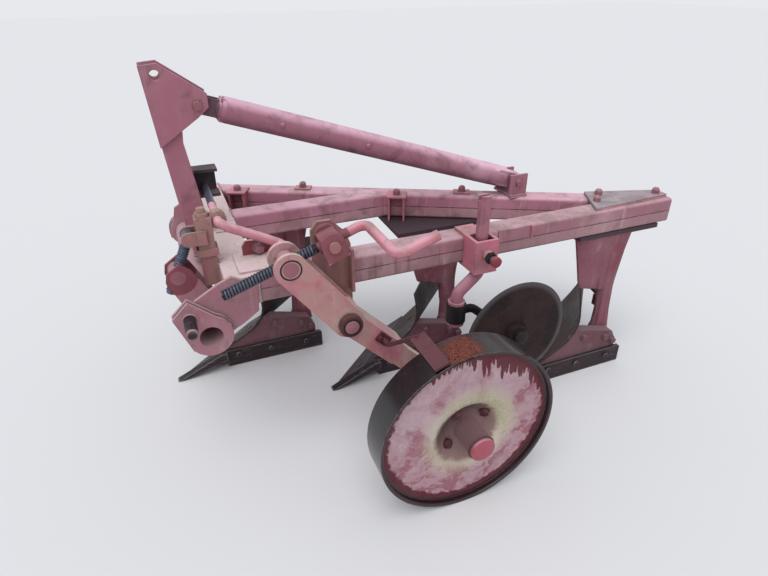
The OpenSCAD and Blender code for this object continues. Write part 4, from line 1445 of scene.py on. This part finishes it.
@dataclass
class HitchShaft(SubAssembly):
    """The turning cross shaft with its nut, its screw and the hitch pins."""

    head: Point = (46, -270, 868)
    nut: Point = (-10, -270, 748)
    shoulder: float = 482.5
    pin_radius: float = 18.3
    hole_place: float = 68.0
    hole_radius: float = 5.5
    screw_radius: float = 15.0
    screw_pitch: float = 9.0

    def build(self) -> None:
        """Dress the shaft, wind the screw's thread and sleeve the pins."""
        self.dress(
            ("cross_shaft", "shaft_paint", 1.2),
            ("tilt_nut", "bolt_paint", 1.2),
            ("tilt_spindle", "screw_steel", 1.0),
        )
        start = at(*self.head)
        along = (at(*self.nut) - start).normalized()
        radius, pitch = self.screw_radius, self.screw_pitch
        screw = self.shop.body_of["tilt_spindle"]
        self.tools.threads.wind("tilt_thread", start, along, 30, 206, radius, pitch, screw)
        body = self.shop.body_of["cross_shaft"]
        r = self.pin_radius
        steel = [(r + 0.4, 0.3), (r + 0.4, 83), (r - 0.6, 83.2), (r - 0.6, 84.8), (r + 0.4, 85)]
        steel.append((r - 2.5, 92.4))
        hole = [(self.hole_radius, 0), (self.hole_radius, 2 * r + 1.6)]
        for name, x, side, z in (("near", 0, -1, 684), ("far", 108, 1, 530)):
            axis = Vector((0, side, 0))
            foot = at(x, side * self.shoulder, z)
            below = at(x, side * (self.shoulder + self.hole_place), z - r - 0.8)
            collar = at(x, side * (self.shoulder + 1), z)
            self.shop.add(lathe(f"{name}_hitch_pin_steel", steel, foot, axis), "landside_steel", body)
            # Painted shade: a black plug through the pin stands in for the dark inside of its hole.
            self.shop.add(lathe(f"{name}_hitch_pin_hole_shade", hole, below, UP, 20), "black_iron", body)
            self.shop.add(hoop(f"{name}_hitch_pin_weld", collar, axis, r + 2, 3), "cheek_paint", body)


@dataclass
class DepthSet(SubAssembly):
    """The depth wheel's bracket, screw and nut."""

    bearing: Point = (452, -513, 882)
    nut: Point = (311, -513, 833)
    pivot: Point = (487, -590, 600)
    length: float = 368.0
    screw_radius: float = 15.0
    screw_pitch: float = 10.0

    def build(self) -> None:
        """Dress the pieces, wind the screw's thread and cap the pivot."""
        self.dress(
            ("depth_bracket", "post_paint", 1.2),
            ("depth_screw", "crank_paint", 0.0),
            ("depth_nut", "bolt_paint", 1.2),
        )
        body = self.shop.body_of["depth_screw"]
        start = at(*self.bearing)
        along = (at(*self.nut) - start).normalized()
        radius, pitch = self.screw_radius, self.screw_pitch
        self.tools.threads.wind("depth_thread", start, along, 55, self.length - 4, radius, pitch, body)
        sleeve = [(15.3, 44), (15.3, self.length - 1), (13.5, self.length + 0.6)]
        self.shop.add(lathe("depth_screw_sleeve", sleeve, start, along), "black_iron", body)
        # Painted shadow: the dark rust collar and the black ring stand in for the shadow round the pivot's
        # boss.
        for name, profile, look in (
            ("collar", [(40, -19), (40, 0.5), (37, 3)], "scraper_rust"),
            ("ring", [(31, 2), (31, 4), (29, 4.6)], "black_iron"),
            ("cap", [(24, 4), (24, 7), (20, 9)], "bolt_paint"),
            ("middle", [(9, 8), (9, 10), (7, 11)], "bolt_paint"),
        ):
            self.shop.add(lathe(f"arm_pivot_{name}", profile, at(*self.pivot), NEAR), look)


@dataclass
class WheelGear(SubAssembly):
    """The wheel arm, the scraper, the wheel and its hub."""

    axle: Point = (767, -920, 315)
    nut: Point = (311, -566, 833)
    bolt_circle: float = 82.0
    bolt_angles: Sequence[float] = (0.62, 2.09, 3.75, 5.2)
    scraper_bolts: Spots = ((592, 516), (618, 498))

    def build(self) -> None:
        """Dress the pieces and add bolts and rings."""
        self.dress(
            ("wheel_arm", "arm_paint", 1.2),
            ("wheel_scraper", "scraper_rust", 0.8),
            ("wheel", "wheel_coat", 1.0),
            ("hub_cap", "hub_cap_paint", 2.5),
        )
        arm, wheel = self.shop.body_of["wheel_arm"], self.shop.body_of["wheel"]
        self.shop.add(hoop("lever_ring", at(*self.nut), FAR, 32, 2.6), "black_iron", arm)
        x, y, z = self.axle
        heads = []
        for a in self.bolt_angles:
            start = (x + self.bolt_circle * math.cos(a), y - 100, z + self.bolt_circle * math.sin(a))
            heads.append(Bolt("wheel", start, FAR, 1.1))
        self.tools.hex_heads.seat("hub_bolts", "scraper_rust", heads, wheel)
        feet = [Bolt("wheel_scraper", (bx, -700, bz), FAR, 0.7) for bx, bz in self.scraper_bolts]
        self.tools.hex_heads.seat("scraper_bolts", "scraper_rust", feet, arm)
        self.shop.add(hoop("hub_ring", at(x, y - 62, z), FAR, 43.5, 2.6), "scraper_rust", wheel)


@dataclass
class Coulter(SubAssembly):
    """The disc coulter with its clamp, shank and arm."""

    stud: Point = (1032, -518, 724)
    stud_radius: float = 12.0
    stud_pitch: float = 3.0
    hub: Point = (1183, -585, 365)
    disc: Point = (1183, -545, 365)

    def build(self) -> None:
        """Dress the pieces and add the clamp's stud and the hub's cap."""
        self.dress(
            ("coulter_clamp", "clamp_paint", 1.2),
            ("coulter_shank", "mast_paint", 0.0),
            ("coulter_arm", "black_iron", 0.0),
            ("coulter_disc", "disc_coat", 0.4),
        )
        seat = at(*self.stud)
        for name, profile, sides, look in (
            ("nut", [(21, 19), (23, 21), (23, 33), (20, 36)], 6, "black_iron"),
            ("shaft", [(self.stud_radius, 18), (self.stud_radius, 56)], 24, "screw_steel"),
            ("head", [(15, 50), (19, 52), (20, 60), (19, 68), (14, 71)], 24, "red_paint"),
        ):
            self.shop.add(lathe(f"clamp_stud_{name}", profile, seat, NEAR, sides), look)
        self.tools.threads.wind("clamp_stud_thread", seat, NEAR, 36, 51, self.stud_radius, self.stud_pitch)
        cap = lathe("coulter_hub_cap", [(30, -14), (30, 3), (24, 8), (12, 10)], at(*self.hub), NEAR)
        self.shop.add(cap, "black_iron", self.shop.body_of["coulter_arm"])


@dataclass
class Bodies(SubAssembly):
    """The three plough bodies. Holes are along and up from the share's tip."""

    pitch: float = 630.0
    furrow: float = 330.0
    tip: Point = (-112, 144, 0)
    turn: float = math.radians(43)
    landside_holes: Spots = ((285, 61), (439, 55), (610, 50))
    frog_holes: Spots = ((596, 150), (642, 122), (470, 180))
    board_holes: Spots = ((235, 110), (318, 200), (370, 110), (420, 240), (520, 120))
    share_holes: Spots = ((170, 40), (310, 40), (450, 40))

    def build(self) -> None:
        """Dress each body and seat its bolts."""
        for k in range(3):
            n = k + 1
            self.dress(
                (f"leg_{n}", "leg_paint", 1.6),
                (f"frog_{n}", "frog_paint", 1.2),
                (f"moldboard_{n}", "board_iron", 0.6),
                (f"share_{n}", "share_steel", 0.5),
                (f"point_{n}", "landside_steel", 1.5),
                (f"landside_{n}", "landside_steel", 1.5),
            )
            self._bolts(n, self.tip[0] + k * self.pitch, self.tip[1] - k * self.furrow)

    def _bolts(self, n: int, x: float, y: float) -> None:
        """Seat the bolts of body n, whose share has its tip at x, y.

        Args:
            n: Number of the body.
            x: Place of the tip.
            y: Place of the tip.
        """
        run = Vector((math.cos(self.turn), math.sin(self.turn)))
        out = Vector((-run.y, run.x))
        for tool, node, holes, size, look in (
            (self.tools.rounds, "landside", self.landside_holes, 1.05, "landside_steel"),
            (self.tools.hex_heads, "frog", self.frog_holes, 1.15, "frog_paint"),
        ):
            bolts = [Bolt(f"{node}_{n}", (x + dx, y - 200, z), FAR, size) for dx, z in holes]
            tool.seat(f"{node}_bolts_{n}", look, bolts)
        for node, holes, size in (("moldboard", self.board_holes, 1.0), ("share", self.share_holes, 0.95)):
            bolts = []
            for s, z in holes:
                start = (x + run.x * s + out.x * 400, y + run.y * s + out.y * 400, z)
                bolts.append(Bolt(f"{node}_{n}", start, way(-out.x, -out.y, 0), size))
            self.tools.flush.seat(f"{node}_bolts_{n}", "share_steel", bolts)


@dataclass
class Studio:
    """The pale floor, the light and the camera at the photograph's angle."""

    floor_half: float = 30.0
    floor_tone: Shade = (226, 226, 228)
    sky_tone: Shade = (244, 247, 252)
    sky_strength: float = 0.68
    backdrop_tone: Shade = (232, 233, 236)
    sun_from: Point = (-0.5, -0.75, 1.6)
    sun_angle: float = 50.0
    sun_energy: float = 1.45
    eye: Point = (20, -2020, 1600)
    heading: float = 22.13
    pitch: float = 29.65
    roll: float = -0.39
    lens: float = 25.69

    def build(self) -> None:
        """Set up everything that isn't the plough."""
        self._floor()
        self._light()
        self._camera()
        bpy.context.scene.view_settings.view_transform = "Standard"

    def _floor(self) -> None:
        """Lay the floor."""
        half = self.floor_half
        corners = [(-half, -half, 0), (half, -half, 0), (half, half, 0), (-half, half, 0)]
        floor = new_piece("studio_floor", points_mesh("studio_floor", corners, (), [(0, 1, 2, 3)]))
        floor.data.materials.append(Surface("studio_floor", self.floor_tone).close(0.95))

    def _light(self) -> None:
        """Set a soft sky and one soft sun from above."""
        world = bpy.data.worlds.new("studio_sky")
        world.use_nodes = True
        bpy.context.scene.world = world
        net = Net(world.node_tree)
        path = net.add("ShaderNodeLightPath").outputs
        seen = net.maths("MAXIMUM", path["Is Camera Ray"], path["Is Glossy Ray"])
        seen = net.maths("MAXIMUM", seen, path["Is Transmission Ray"])
        lit, backdrop = (
            net.add("ShaderNodeBackground", sockets={"Color": tone(shade), "Strength": strength}).outputs[0]
            for shade, strength in ((self.sky_tone, self.sky_strength), (self.backdrop_tone, 1.0))
        )
        both = net.add("ShaderNodeMixShader", sockets={0: seen, 1: lit, 2: backdrop})
        net.add("ShaderNodeOutputWorld", sockets={0: both.outputs[0]})
        lamp = bpy.data.lights.new("soft_sun", "SUN")
        lamp.angle = math.radians(self.sun_angle)
        lamp.energy = self.sun_energy
        stand = bpy.data.objects.new("soft_sun", lamp)
        stand.rotation_euler = Vector(self.sun_from).to_track_quat("Z", "Y").to_euler()
        bpy.context.scene.collection.objects.link(stand)

    def _camera(self) -> None:
        """Put the camera where the photograph was taken."""
        heading, pitch, roll = (math.radians(a) for a in (self.heading, self.pitch, self.roll))
        right = Vector((math.cos(heading), -math.sin(heading), 0))
        level = Vector((math.sin(heading), math.cos(heading), 0))
        ahead = level * math.cos(pitch) - UP * math.sin(pitch)
        up = right.cross(ahead)
        side = right * math.cos(roll) + up * math.sin(roll)
        top = up * math.cos(roll) - right * math.sin(roll)
        lens = bpy.data.cameras.new("photo_view")
        lens.sensor_width = 36.0
        lens.lens = self.lens
        camera = bpy.data.objects.new("photo_view", lens)
        turn = Matrix((side, top, -ahead)).transposed()
        camera.matrix_world = Matrix.Translation(at(*self.eye)) @ turn.to_4x4()
        bpy.context.scene.collection.objects.link(camera)
        bpy.context.scene.camera = camera


def main() -> None:
    """Build the plough's looks in order and log how many pieces each part adds."""
    logging.basicConfig(level=logging.INFO, format="%(message)s")
    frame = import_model()
    marks = (WheelGear.axle, Coulter.disc, DepthSet.bearing, Headstock.eye, HitchShaft.nut)
    shop = Shop(frame, Finish(*(at(*mark) for mark in marks)))
    tools = Tools(shop)
    for part in (Beams, Headstock, HitchShaft, DepthSet, WheelGear, Coulter, Bodies):
        before = shop.pieces
        part(shop, tools).build()
        LOG.info("%s: %d pieces", part.__name__, shop.pieces - before)
    Studio().build()
    bpy.context.view_layer.update()


if __name__ == "__main__":
    main()
